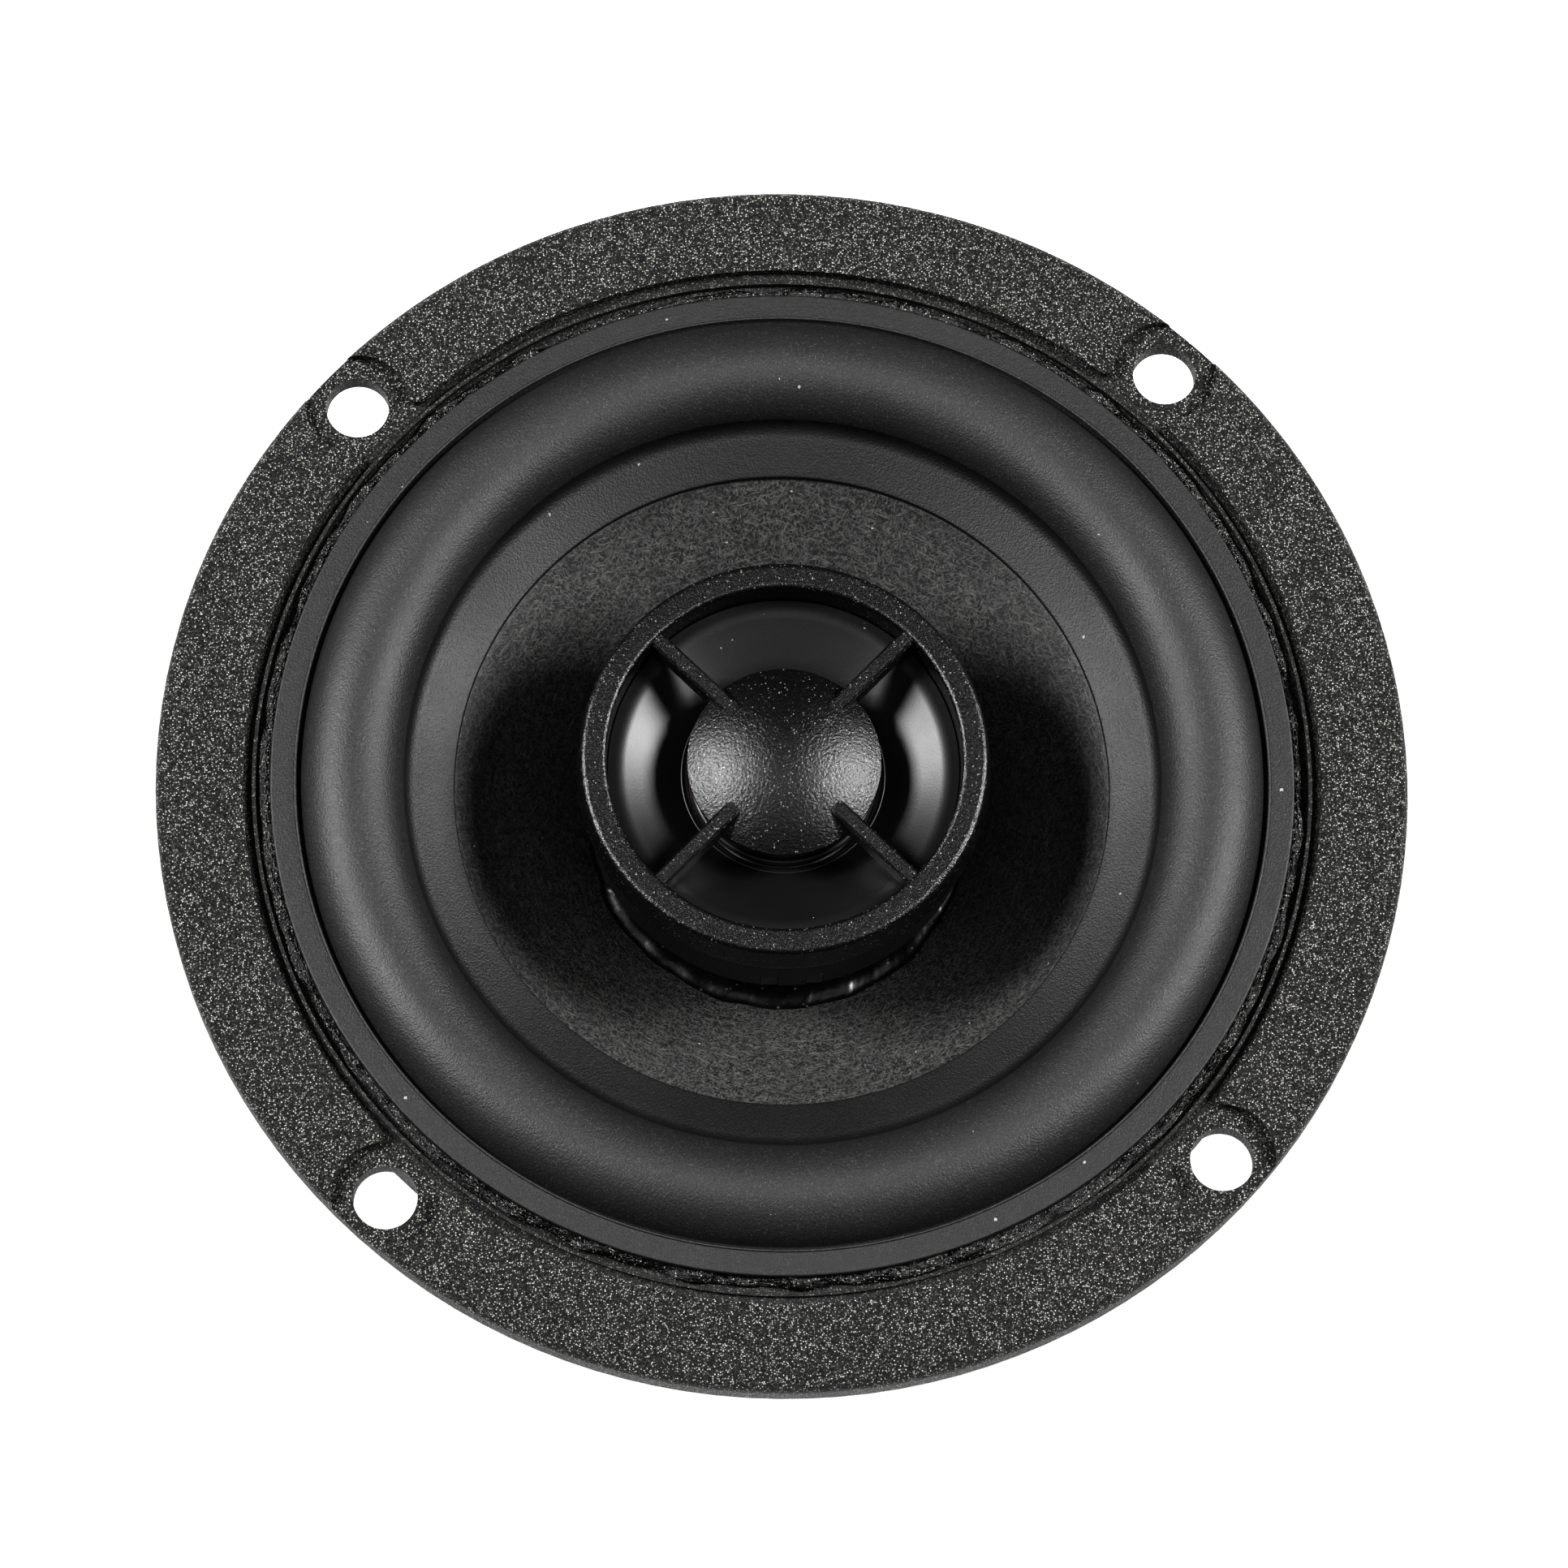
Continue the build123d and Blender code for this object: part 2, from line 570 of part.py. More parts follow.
def tweeter_screws():
    """Two small screws through the post's flange into the tweeter's base."""
    screws = []
    for side in (-1, 1):
        head_z = HOUSING_Z[0] - POST_FLANGE_T
        head = disc(1.65, head_z - 0.5, head_z + 0.5, side * 5.8, 0)
        screws.append(head + disc(0.9, head_z + 0.5, T_BASE_TOP_Z, side * 5.8, 0))
    return Compound(children=screws)


# ---- terminals and wiring -----------------------------------------------------------------
def terminal_board():
    half = BOARD_W / 2
    board = block((-half, half), BOARD_Y, (BOARD_BOTTOM_Z, BOARD_TOP_Z))
    board = fillet(board.edges().filter_by(Axis.Z), 1.0)
    low, high = BOARD_BOTTOM_Z - 1, BOARD_TOP_Z + 1
    for side in (-1, 1):
        board -= disc(RIVET_R, low, high, side * EAR_X, TAB_RIVET_Y)
        board -= disc(RIVET_R, low, high, side * TAB_X, TAB_RIVET_Y)
        board -= disc(LEAD_D / 2 + 0.1, low, high, side * LEAD_X, LEAD_RISE_Y)
        board -= disc(CAPACITOR_WIRE_R + 0.05, low, high, side * capacitor_leg_x(), CAPACITOR_Y)
    return board


def capacitor_leg_x():
    return CAPACITOR_L / 2 + 1.1


def terminal(side, width, thickness):
    """Push-on blade: a foot under the board, bent down outside its edge."""
    x_range = (side * TAB_X - width / 2, side * TAB_X + width / 2)
    edge_y = BOARD_Y[0]
    top = BOARD_BOTTOM_Z
    foot = block(x_range, (edge_y - thickness, BOARD_Y[1] + 0.6), (top - thickness, top))
    blade = block(x_range, (edge_y - thickness, edge_y), (top - thickness - TAB_BLADE_H, top))
    blade = chamfer(blade.edges().filter_by(Axis.Y).group_by(Axis.Z)[0], 1.0)
    tab = foot + blade
    tab = fillet([e for e in tab.edges().filter_by(Axis.X)
                  if abs(e.center().Y - edge_y + thickness) < 0.01 and abs(e.center().Z - top) < 0.01], 0.6)
    tab -= disc(RIVET_R, top - 3, top + 1, side * TAB_X, TAB_RIVET_Y)
    dimple = Pos(side * TAB_X, edge_y - thickness / 2, top - TAB_BLADE_H * 0.62) * Rot(90, 0, 0)
    return tab - dimple * Cylinder(0.8, 4)


def positive_terminal():
    return terminal(1, *POSITIVE_TAB)


def negative_terminal():
    return terminal(-1, *NEGATIVE_TAB)


def hollow_rivet(x, y, low_z, high_z):
    """A rolled rivet that clamps everything between two heights."""
    body = disc(RIVET_R, low_z, high_z, x, y)
    for head_low in (low_z - RIVET_HEAD_H, high_z):
        head = disc(RIVET_HEAD_R, head_low, head_low + RIVET_HEAD_H, x, y)
        outside = head.edges().group_by(Axis.Z)[0 if head_low < low_z else -1]
        body += fillet(outside, 0.35)
    return body - disc(RIVET_R * 0.55, low_z - 1, high_z + 1, x, y)


def board_rivets():
    return Compound(children=[
        hollow_rivet(side * EAR_X, TAB_RIVET_Y, BOARD_BOTTOM_Z, SHELF_Z) for side in (-1, 1)])


def terminal_rivets():
    foot_z = BOARD_BOTTOM_Z - POSITIVE_TAB[1]
    return Compound(children=[
        hollow_rivet(side * TAB_X, TAB_RIVET_Y, foot_z, BOARD_TOP_Z) for side in (-1, 1)])


def capacitor():
    """The tweeter's series capacitor, lying on the board."""
    middle_z = BOARD_TOP_Z + CAPACITOR_R + 0.05
    can = Pos(0, CAPACITOR_Y, middle_z) * Rot(0, 90, 0) * Cylinder(CAPACITOR_R, CAPACITOR_L)
    can = fillet(can.edges().filter_by(GeomType.CIRCLE), 0.5)
    waist = Pos(-CAPACITOR_L / 2 + 1.6, CAPACITOR_Y, middle_z) * Rot(0, 90, 0)
    return can - waist * Torus(CAPACITOR_R + 0.15, 0.4)


def capacitor_leads():
    """The two wire legs, bent down through the board."""
    middle_z = BOARD_TOP_Z + CAPACITOR_R + 0.05
    legs = []
    for side in (-1, 1):
        path = FilletPolyline(
            (side * CAPACITOR_L / 2, CAPACITOR_Y, middle_z),
            (side * capacitor_leg_x(), CAPACITOR_Y, middle_z),
            (side * capacitor_leg_x(), CAPACITOR_Y, BOARD_BOTTOM_Z - 0.5),
            radius=0.9)
        legs.append(wire_along(path, CAPACITOR_WIRE_R))
    return Compound(children=legs)


def wire_along(path, radius):
    """A round wire along a path of straight runs and tangent arcs."""
    section = Plane(origin=path @ 0, z_dir=path % 0) * Circle(radius)
    return sweep(section, path=path)


def tweeter_leads():
    """Two insulated wires: down the post, out along the groove behind, and up to the board."""
    leads = []
    for side in (-1, 1):
        x = side * LEAD_X
        path = FilletPolyline(
            (x, 0, HOUSING_Z[0]), (x, 0, LEAD_GROOVE_Z),
            (x, LEAD_RISE_Y, LEAD_GROOVE_Z), (x, LEAD_RISE_Y, BOARD_TOP_Z + 0.2),
            radius=LEAD_BEND_R)
        leads.append(wire_along(path, LEAD_D / 2))
    return Compound(children=leads)


def eyelet_plane(side):
    """The place of a tinsel lead's eyelet on the back of the cone, facing away from the cone."""
    y = -math.sqrt(EYELET_CIRCLE_R ** 2 - EYELET_X ** 2)
    ray = Edge.make_line((side * EYELET_X, y, CONE_NECK[1] - 5), (side * EYELET_X, y, CONE_RIM[1]))
    hit = min((cone() & ray).vertices(), key=lambda v: v.Z)
    slope = math.atan2(CONE_LIP_END[1] - CONE_NECK[1], CONE_LIP_END[0] - CONE_NECK[0])
    outward = Vector(side * EYELET_X, y, 0).normalized()
    facing = outward * math.sin(slope) - Vector(0, 0, math.cos(slope))
    return Plane(origin=Vector(hit.X, hit.Y, hit.Z) + facing * GLUE_GAP, z_dir=facing)


def lead_eyelets():
    """Two small eyelets under the cone where the tinsel leads are soldered."""
    bottom = (Align.CENTER, Align.CENTER, Align.MIN)
    barrel = Cylinder(EYELET_R, EYELET_H, align=bottom)
    barrel = fillet(barrel.edges().filter_by(GeomType.CIRCLE).group_by(Axis.Z)[-1], 0.3)
    barrel -= Pos(0, 0, EYELET_H - 1.0) * Cylinder(EYELET_HOLE_R, 2, align=bottom)
    return Compound(children=[eyelet_plane(side) * barrel for side in (-1, 1)])


def tinsel_leads():
    """Two braided leads that hang in a loose bow from the terminals to the cone."""
    leads = []
    for side in (-1, 1):
        plane = eyelet_plane(side)
        start = plane.origin + plane.z_dir * (EYELET_H + GLUE_GAP)
        drop = plane.origin + plane.z_dir * (EYELET_H + 2.6)
        leads.append(wire_along(bowed_path([
            start, drop, Vector(side * 9.3, -26.2, -14.7), Vector(side * 10.3, -32.0, -13.6),
            Vector(side * TAB_X, TAB_RIVET_Y, -15.6),
            Vector(side * TAB_X, TAB_RIVET_Y, BOARD_TOP_Z + RIVET_HEAD_H),
        ]), TINSEL_D / 2))
    return Compound(children=leads)


def bowed_path(points):
    """Straight runs joined by arcs as large as the runs allow."""
    radii = []
    for before, corner, after in zip(points, points[1:], points[2:]):
        shorter = min((corner - before).length, (after - corner).length)
        turn = math.radians((corner - before).get_angle(after - corner))
        radii.append(0.45 * shorter / math.tan(turn / 2))
    print("bow radii", [round(r, 2) for r in radii])
    return FilletPolyline(*points, radius=radii)


# ---- export -------------------------------------------------------------------------------
PARTS = [
    basket, top_plate, magnet_ring, yoke, motor_screws,
    cone, neck_adhesive, surround, spider, voice_coil_former, voice_coil, lead_eyelets, tinsel_leads,
    tweeter_grille, tweeter_housing, tweeter_base, tweeter_waveguide, tweeter_dome_ring,
    tweeter_yoke, tweeter_magnet, tweeter_pole_washer, tweeter_dome, tweeter_dome_surround,
    tweeter_coil_former, tweeter_coil, tweeter_post, post_nut, tweeter_screws, tweeter_leads,
    terminal_board, positive_terminal, negative_terminal, terminal_rivets, board_rivets,
    capacitor, capacitor_leads,
]

os.makedirs("parts", exist_ok=True)
for make in PARTS:
    export_step(make(), f"parts/{make.__name__}.step")
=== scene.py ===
# %% [markdown]
# # A coaxial car speaker, finished in Blender
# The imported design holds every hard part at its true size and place, and how the cone and the dome slide.
# This lesson gives those parts their finishes, and works out the soft and thin pieces again as smooth
# surfaces: the rubber edge, the fibre cone, the glue, the cloth spider, the horn, the silk dome and the
# braided leads. Everything is in metres, in the design's own frame: +Z comes out of the speaker's front,
# and the origin is the centre of the mounting circle on the flange's rear face.

import math

import bmesh
import bpy
import numpy as np
from mathutils import Matrix, Vector


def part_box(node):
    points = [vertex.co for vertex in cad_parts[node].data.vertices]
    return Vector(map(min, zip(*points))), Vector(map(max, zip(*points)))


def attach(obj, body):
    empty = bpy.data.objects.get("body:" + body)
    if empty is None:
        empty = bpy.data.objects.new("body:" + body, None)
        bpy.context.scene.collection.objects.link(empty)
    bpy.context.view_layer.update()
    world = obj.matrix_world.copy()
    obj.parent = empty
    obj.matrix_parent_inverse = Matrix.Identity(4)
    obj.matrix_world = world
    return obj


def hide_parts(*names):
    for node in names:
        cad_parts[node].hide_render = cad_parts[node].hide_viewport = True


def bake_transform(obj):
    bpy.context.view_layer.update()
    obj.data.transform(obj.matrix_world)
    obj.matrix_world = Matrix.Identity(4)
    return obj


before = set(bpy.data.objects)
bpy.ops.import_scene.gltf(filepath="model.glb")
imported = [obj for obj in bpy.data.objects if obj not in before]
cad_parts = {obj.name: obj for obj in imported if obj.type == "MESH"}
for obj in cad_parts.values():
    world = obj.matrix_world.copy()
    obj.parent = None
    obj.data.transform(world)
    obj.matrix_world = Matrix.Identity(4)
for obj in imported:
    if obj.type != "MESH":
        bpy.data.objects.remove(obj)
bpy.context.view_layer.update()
MM = 0.001

# %% [markdown]
# ## Measures from the frame
# A piece goes where the design says, so the main radii and heights are read from the boxes of the nodes.
# Lengths in this lesson are worked out in millimetres, because that is how such a part is drawn, and turned
# into metres at the moment a mesh is made.

# %% Measures in millimetres
def node_box(node):
    """Lowest and highest corner of a node, in millimetres."""
    low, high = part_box(node)
    return np.array(low) / MM, np.array(high) / MM


def outer_radius(node):
    """Radius of a round node, in millimetres."""
    return node_box(node)[1][0]


FLOOR_Z = node_box("yoke")[0][2]
CONE_RIM_R = outer_radius("cone")
SURROUND_R = outer_radius("surround")
FORMER_R = outer_radius("voice_coil_former")
print("edge", round(SURROUND_R, 2), "cone rim", round(CONE_RIM_R, 2), "floor", round(FLOOR_Z, 2))

# %% [markdown]
# ## Camera
# A speaker is best seen from high up through a long lens, so that its circle stays almost round. The camera
# is set by plain measures: the point it looks at, how far away and how high it stands, a small turn to the
# side and a small tilt of the horizon.

# %% Camera
SENSOR_MM = 36.0
LENS_MM = 145.25
AIM = np.array([0.02, -0.84, 3.0])
DISTANCE = 514.4
AZIMUTH = math.radians(-7.44)
ELEVATION = math.radians(73.14)
ROLL = math.radians(4.65)

back = np.array([
    math.sin(AZIMUTH) * math.cos(ELEVATION),
    -math.cos(AZIMUTH) * math.cos(ELEVATION),
    math.sin(ELEVATION),
])
camera_data = bpy.data.cameras.new("camera")
camera_data.lens = LENS_MM
camera_data.sensor_width = SENSOR_MM
camera = bpy.data.objects.new("camera", camera_data)
camera.location = Vector((AIM + back * DISTANCE) * MM)
facing = Vector(-back).to_track_quat("-Z", "Y")
camera.rotation_mode = "QUATERNION"
camera.rotation_quaternion = facing @ Matrix.Rotation(ROLL, 3, "Z").to_quaternion()
bpy.context.scene.collection.objects.link(camera)
bpy.context.scene.camera = camera
print("camera at", [round(x, 4) for x in camera.location])

# %% [markdown]
# ## Floor and light
# Two soft boxes, left and right at about forty degrees, draw the pair of highlights that every ring of the
# speaker shows, and let the tweeter throw its shadows on the cone. The rest stays dim, because black parts
# look black only when little else shines on them: a weak wide box overhead and a faint surrounding. The
# floor is a plain pale sheet, and past its edge the surrounding looks as pale as the floor but sheds little
# light. High contrast keeps the blacks deep and the floor clean.

# %% Soft boxes
def soft_box(name, place, size, watts):
    """A rectangular lamp at a place in metres, turned to face the speaker; its size is across, then up."""
    data = bpy.data.lights.new(name, "AREA")
    data.shape = "RECTANGLE"
    data.size, data.size_y = size
    data.energy = watts
    lamp = bpy.data.objects.new(name, data)
    lamp.location = Vector(place)
    lamp.rotation_mode = "QUATERNION"
    lamp.rotation_quaternion = Vector(place).to_track_quat("Z", "Y")
    bpy.context.scene.collection.objects.link(lamp)


BOX_WATTS = 8.2
FILL_WATTS = 1.5
soft_box("left_box", (-0.528, 0.12, 0.518), (0.26, 0.20), BOX_WATTS)
soft_box("right_box", (0.559, 0.05, 0.499), (0.26, 0.22), BOX_WATTS)
soft_box("fill_box", (0.0, -0.30, 1.10), (0.9, 0.7), FILL_WATTS)

# %% Surrounding
SHED_LIGHT = 0.05
SEEN_LIGHT = 1.0

world = bpy.data.worlds.new("studio")
world.use_nodes = True
world_nodes, links = world.node_tree.nodes, world.node_tree.links
dim = world_nodes["Background"]
pale = world_nodes.new("ShaderNodeBackground")
for surrounding, strength in ((dim, SHED_LIGHT), (pale, SEEN_LIGHT)):
    surrounding.inputs["Color"].default_value = (1.0, 1.0, 1.0, 1.0)
    surrounding.inputs["Strength"].default_value = strength
seen = world_nodes.new("ShaderNodeMixShader")
links.new(world_nodes.new("ShaderNodeLightPath").outputs["Is Camera Ray"], seen.inputs[0])
links.new(dim.outputs[0], seen.inputs[1])
links.new(pale.outputs[0], seen.inputs[2])
links.new(seen.outputs[0], world_nodes["World Output"].inputs["Surface"])
bpy.context.scene.world = world
bpy.context.scene.view_settings.view_transform = "Standard"
bpy.context.scene.view_settings.look = "High Contrast"
print("surrounding sheds", SHED_LIGHT, "and shows", SEEN_LIGHT)

# %% Floor
FLOOR_HALF = 0.45

corners = [(x * FLOOR_HALF, y * FLOOR_HALF, FLOOR_Z * MM) for x, y in ((-1, -1), (1, -1), (1, 1), (-1, 1))]
floor_mesh = bpy.data.meshes.new("floor")
floor_mesh.from_pydata(corners, [], [(0, 1, 2, 3)])
floor = bpy.data.objects.new("floor", floor_mesh)
bpy.context.scene.collection.objects.link(floor)
floor_paint = bpy.data.materials.new("floor_paint")
floor_paint.use_nodes = True
floor_shader = floor_paint.node_tree.nodes["Principled BSDF"]
floor_shader.inputs["Base Color"].default_value = (0.66, 0.66, 0.66, 1.0)
floor_shader.inputs["Roughness"].default_value = 0.7
floor_mesh.materials.append(floor_paint)
print("floor at", round(FLOOR_Z, 2), "mm")

# %% [markdown]
# ## Effects that several finishes share
# A finish is seldom one colour. Cast paint has grain and painted glints, small bright specks painted into its
# colour as painted highlights, rubber picks up dust, paper shows its fibres, turned steel keeps the lathe's
# rings. Each of these effects is one small node group with its own sizes as inputs, so that a material only
# has to say how coarse and how strong it is. All of them read Object coordinates, so a pattern stays fixed on
# the part. Sizes are typed in millimetres.

# %% Helpers for node groups
def add_node(tree, kind, **settings):
    """A new shader node with some of its settings."""
    node = tree.nodes.new("ShaderNode" + kind)
    for key, value in settings.items():
        setattr(node, key, value)
    return node


def type_in(node, **values):
    """Types values into a node's inputs; an underscore in a name stands for a space."""
    for label, value in values.items():
        node.inputs[label.replace("_", " ")].default_value = value


def feed(tree, value, socket):
    """Connects a socket, or types in a number or a colour."""
    if isinstance(value, bpy.types.NodeSocket):
        tree.links.new(value, socket)
    else:
        socket.default_value = value


def calc(tree, operation, a, b=0.0):
    """One sum on numbers."""
    node = add_node(tree, "Math", operation=operation)
    feed(tree, a, node.inputs[0])
    feed(tree, b, node.inputs[1])
    return node.outputs[0]


def calc_vector(tree, operation, a, b=(0.0, 0.0, 0.0)):
    """One sum on vectors; a length comes out as a number."""
    node = add_node(tree, "VectorMath", operation=operation)
    feed(tree, a, node.inputs[0])
    if operation == "SCALE":
        feed(tree, b, node.inputs["Scale"])
        return node.outputs["Vector"]
    feed(tree, b, node.inputs[1])
    return node.outputs["Value"] if operation == "LENGTH" else node.outputs["Vector"]


def stretch(tree, value, low, high):
    """Maps low..high to 0..1 and clips what lies outside."""
    node = add_node(tree, "MapRange", clamp=True)
    feed(tree, value, node.inputs["Value"])
    feed(tree, low, node.inputs["From Min"])
    feed(tree, high, node.inputs["From Max"])
    return node.outputs["Result"]


def effect(name, inputs, outputs):
    """A node group with float inputs and outputs, and object coordinates in millimetres."""
    group = bpy.data.node_groups.new(name, "ShaderNodeTree")
    for label, value in inputs.items():
        socket = group.interface.new_socket(name=label, in_out="INPUT", socket_type="NodeSocketFloat")
        socket.default_value = value
    for label in outputs:
        group.interface.new_socket(name=label, in_out="OUTPUT", socket_type="NodeSocketFloat")
    given = group.nodes.new("NodeGroupInput").outputs
    result = group.nodes.new("NodeGroupOutput").inputs
    place = add_node(group, "TexCoord").outputs["Object"]
    millimetres = calc_vector(group, "SCALE", place, 1.0 / MM)
    return group, given, result, millimetres


def noise(tree, vector, detail=2.0, roughness=0.5, distortion=0.0):
    """Smooth noise whose waves are one unit long."""
    node = add_node(tree, "TexNoise")
    feed(tree, vector, node.inputs["Vector"])
    type_in(node, Scale=1.0, Detail=detail, Roughness=roughness, Distortion=distortion)
    return node.outputs["Fac"]


def cells(tree, vector, feature="F1"):
    """Cells one unit wide, with a random colour each."""
    node = add_node(tree, "TexVoronoi", feature=feature)
    feed(tree, vector, node.inputs["Vector"])
    type_in(node, Scale=1.0)
    return node


def per_size(tree, vector, size):
    """Scales a vector so that one unit is one size."""
    return calc_vector(tree, "SCALE", vector, calc(tree, "DIVIDE", 1.0, size))


# %% Grain, painted glints and dust
def build_grain():
    """Height of a sprayed or etched skin: rounded cells plus finer noise."""
    group, given, result, mm = effect("grain", {"Size": 0.2}, ["Height", "Patch"])
    scaled = per_size(group, mm, given["Size"])
    pebbles = cells(group, scaled, "SMOOTH_F1").outputs["Distance"]
    fine = noise(group, calc_vector(group, "SCALE", scaled, 1.9), 3.0, 0.6)
    height = calc(group, "ADD", calc(group, "MULTIPLY", pebbles, -0.8), fine)
    feed(group, stretch(group, height, -0.45, 0.55), result["Height"])
    patch = noise(group, calc_vector(group, "SCALE", scaled, 1.3), 2.0, 0.6)
    feed(group, stretch(group, patch, 0.40, 0.68), result["Patch"])
    return group


def build_painted_glints():
    """Mask of painted glints, specks that stand in for highlights: a few cells, picked by their random
    colour, each a soft dot.
    """
    group, given, result, mm = effect("painted_glints", {"Size": 0.15, "Amount": 0.2}, ["Mask"])
    found = cells(group, per_size(group, mm, given["Size"]))
    pick = add_node(group, "SeparateColor")
    feed(group, found.outputs["Color"], pick.inputs[0])
    chosen = calc(group, "LESS_THAN", pick.outputs[0], given["Amount"])
    dot = stretch(group, found.outputs["Distance"], 0.50, 0.12)
    strength = calc(group, "MULTIPLY", dot, pick.outputs[1])
    feed(group, calc(group, "MULTIPLY", chosen, strength), result["Mask"])
    return group


def build_dust():
    """Mask of sparse pale specks of uneven shape."""
    group, given, result, mm = effect("dust", {"Size": 1.2, "Amount": 0.1}, ["Mask"])
    wobble = add_node(group, "TexNoise")
    feed(group, calc_vector(group, "SCALE", mm, 6.0), wobble.inputs["Vector"])
    type_in(wobble, Scale=1.0)
    shift = calc_vector(group, "SCALE", wobble.outputs["Color"], 0.16)
    found = cells(group, calc_vector(group, "ADD", per_size(group, mm, given["Size"]), shift))
    pick = add_node(group, "SeparateColor")
    feed(group, found.outputs["Color"], pick.inputs[0])
    chosen = calc(group, "LESS_THAN", pick.outputs[0], given["Amount"])
    reach = calc(group, "MULTIPLY", pick.outputs[1], 0.09)
    speck = calc(group, "LESS_THAN", found.outputs["Distance"], calc(group, "ADD", reach, 0.012))
    feed(group, calc(group, "MULTIPLY", chosen, speck), result["Mask"])
    return group


def build_band():
    """Mask of a ring about the Z axis: one between two radii and between two heights."""
    inputs = {"Inner": 0.0, "Outer": 1.0, "Low": 0.0, "High": 1.0}
    group, given, result, mm = effect("turned_band", inputs, ["Mask"])
    radius = calc_vector(group, "LENGTH", calc_vector(group, "MULTIPLY", mm, (1.0, 1.0, 0.0)))
    split = add_node(group, "SeparateXYZ")
    feed(group, mm, split.inputs[0])
    beyond = calc(group, "GREATER_THAN", radius, given["Inner"])
    within = calc(group, "LESS_THAN", radius, given["Outer"])
    above = calc(group, "GREATER_THAN", split.outputs["Z"], given["Low"])
    below = calc(group, "LESS_THAN", split.outputs["Z"], given["High"])
    ring = calc(group, "MULTIPLY", beyond, within)
    feed(group, calc(group, "MULTIPLY", ring, calc(group, "MULTIPLY", above, below)), result["Mask"])
    return group


GRAIN = build_grain()
PAINTED_GLINTS = build_painted_glints()
DUST = build_dust()
BAND = build_band()
print("groups:", GRAIN.name, PAINTED_GLINTS.name, DUST.name, BAND.name)


# %% Fibres, lathe rings, weave and slow change
STREAK = (7.0, 1.0, 2.0)


def build_fibres():
    """Height of a mat of short fibres: streaks of noise laid in four directions, the highest winning."""
    group, given, result, mm = effect("fibres", {"Size": 0.12}, ["Height", "Tone"])
    scaled = per_size(group, mm, given["Size"])
    top = None
    for i, degrees in enumerate((12.0, 57.0, 103.0, 151.0)):
        turn = add_node(group, "Mapping", vector_type="TEXTURE")
        feed(group, scaled, turn.inputs["Vector"])
        type_in(turn, Location=(7.3 * i, 3.1 * i, 0.0), Rotation=(0.0, 0.0, math.radians(degrees)))
        type_in(turn, Scale=STREAK)
        streak = noise(group, turn.outputs["Vector"], 1.0, 0.5, 0.35)
        top = streak if top is None else calc(group, "MAXIMUM", top, streak)
    pulp = noise(group, calc_vector(group, "SCALE", scaled, 0.9), 3.0, 0.6)
    feed(group, calc(group, "ADD", top, calc(group, "MULTIPLY", pulp, 0.45)), result["Height"])
    feed(group, stretch(group, top, 0.52, 0.78), result["Tone"])
    return group


def build_rings():
    """Height of lathe marks about the Z axis: noise that changes only with radius and height."""
    group, given, result, mm = effect("lathe_rings", {"Pitch": 0.15}, ["Height"])
    flat = calc_vector(group, "MULTIPLY", mm, (1.0, 1.0, 0.0))
    radius = calc_vector(group, "LENGTH", flat)
    split = add_node(group, "SeparateXYZ")
    feed(group, mm, split.inputs[0])
    join = add_node(group, "CombineXYZ")
    feed(group, radius, join.inputs[0])
    feed(group, split.outputs["Z"], join.inputs[1])
    marks = noise(group, per_size(group, join.outputs[0], given["Pitch"]), 2.0, 0.7)
    feed(group, marks, result["Height"])
    return group


def build_weave():
    """Height of a plain weave in X and Y: two sine ridges, each on top where the other dips."""
    group, given, result, mm = effect("weave", {"Pitch": 0.5}, ["Height"])
    split = add_node(group, "SeparateXYZ")
    feed(group, per_size(group, mm, given["Pitch"]), split.inputs[0])
    across = calc(group, "SINE", calc(group, "MULTIPLY", split.outputs["X"], 2 * math.pi))
    along = calc(group, "SINE", calc(group, "MULTIPLY", split.outputs["Y"], 2 * math.pi))
    feed(group, calc(group, "MAXIMUM", across, along), result["Height"])
    return group


def build_drift():
    """Slow uneven change over a surface, for handling marks and uneven colour."""
    group, given, result, mm = effect("drift", {"Size": 8.0}, ["Value"])
    slow = noise(group, per_size(group, mm, given["Size"]), 3.0, 0.6)
    feed(group, stretch(group, slow, 0.30, 0.70), result["Value"])
    return group


FIBRES = build_fibres()
RINGS = build_rings()
WEAVE = build_weave()
DRIFT = build_drift()
print("groups:", FIBRES.name, RINGS.name, WEAVE.name, DRIFT.name)


# %% [markdown]
# ## The shape of a finish
# Every finish here is one Principled shader. Its colour and roughness move between two values by a mask
# from an effect, and its relief comes from a height through one Bump node. What is the same everywhere, such
# as the metal share or the sheen, is typed on the shader itself.

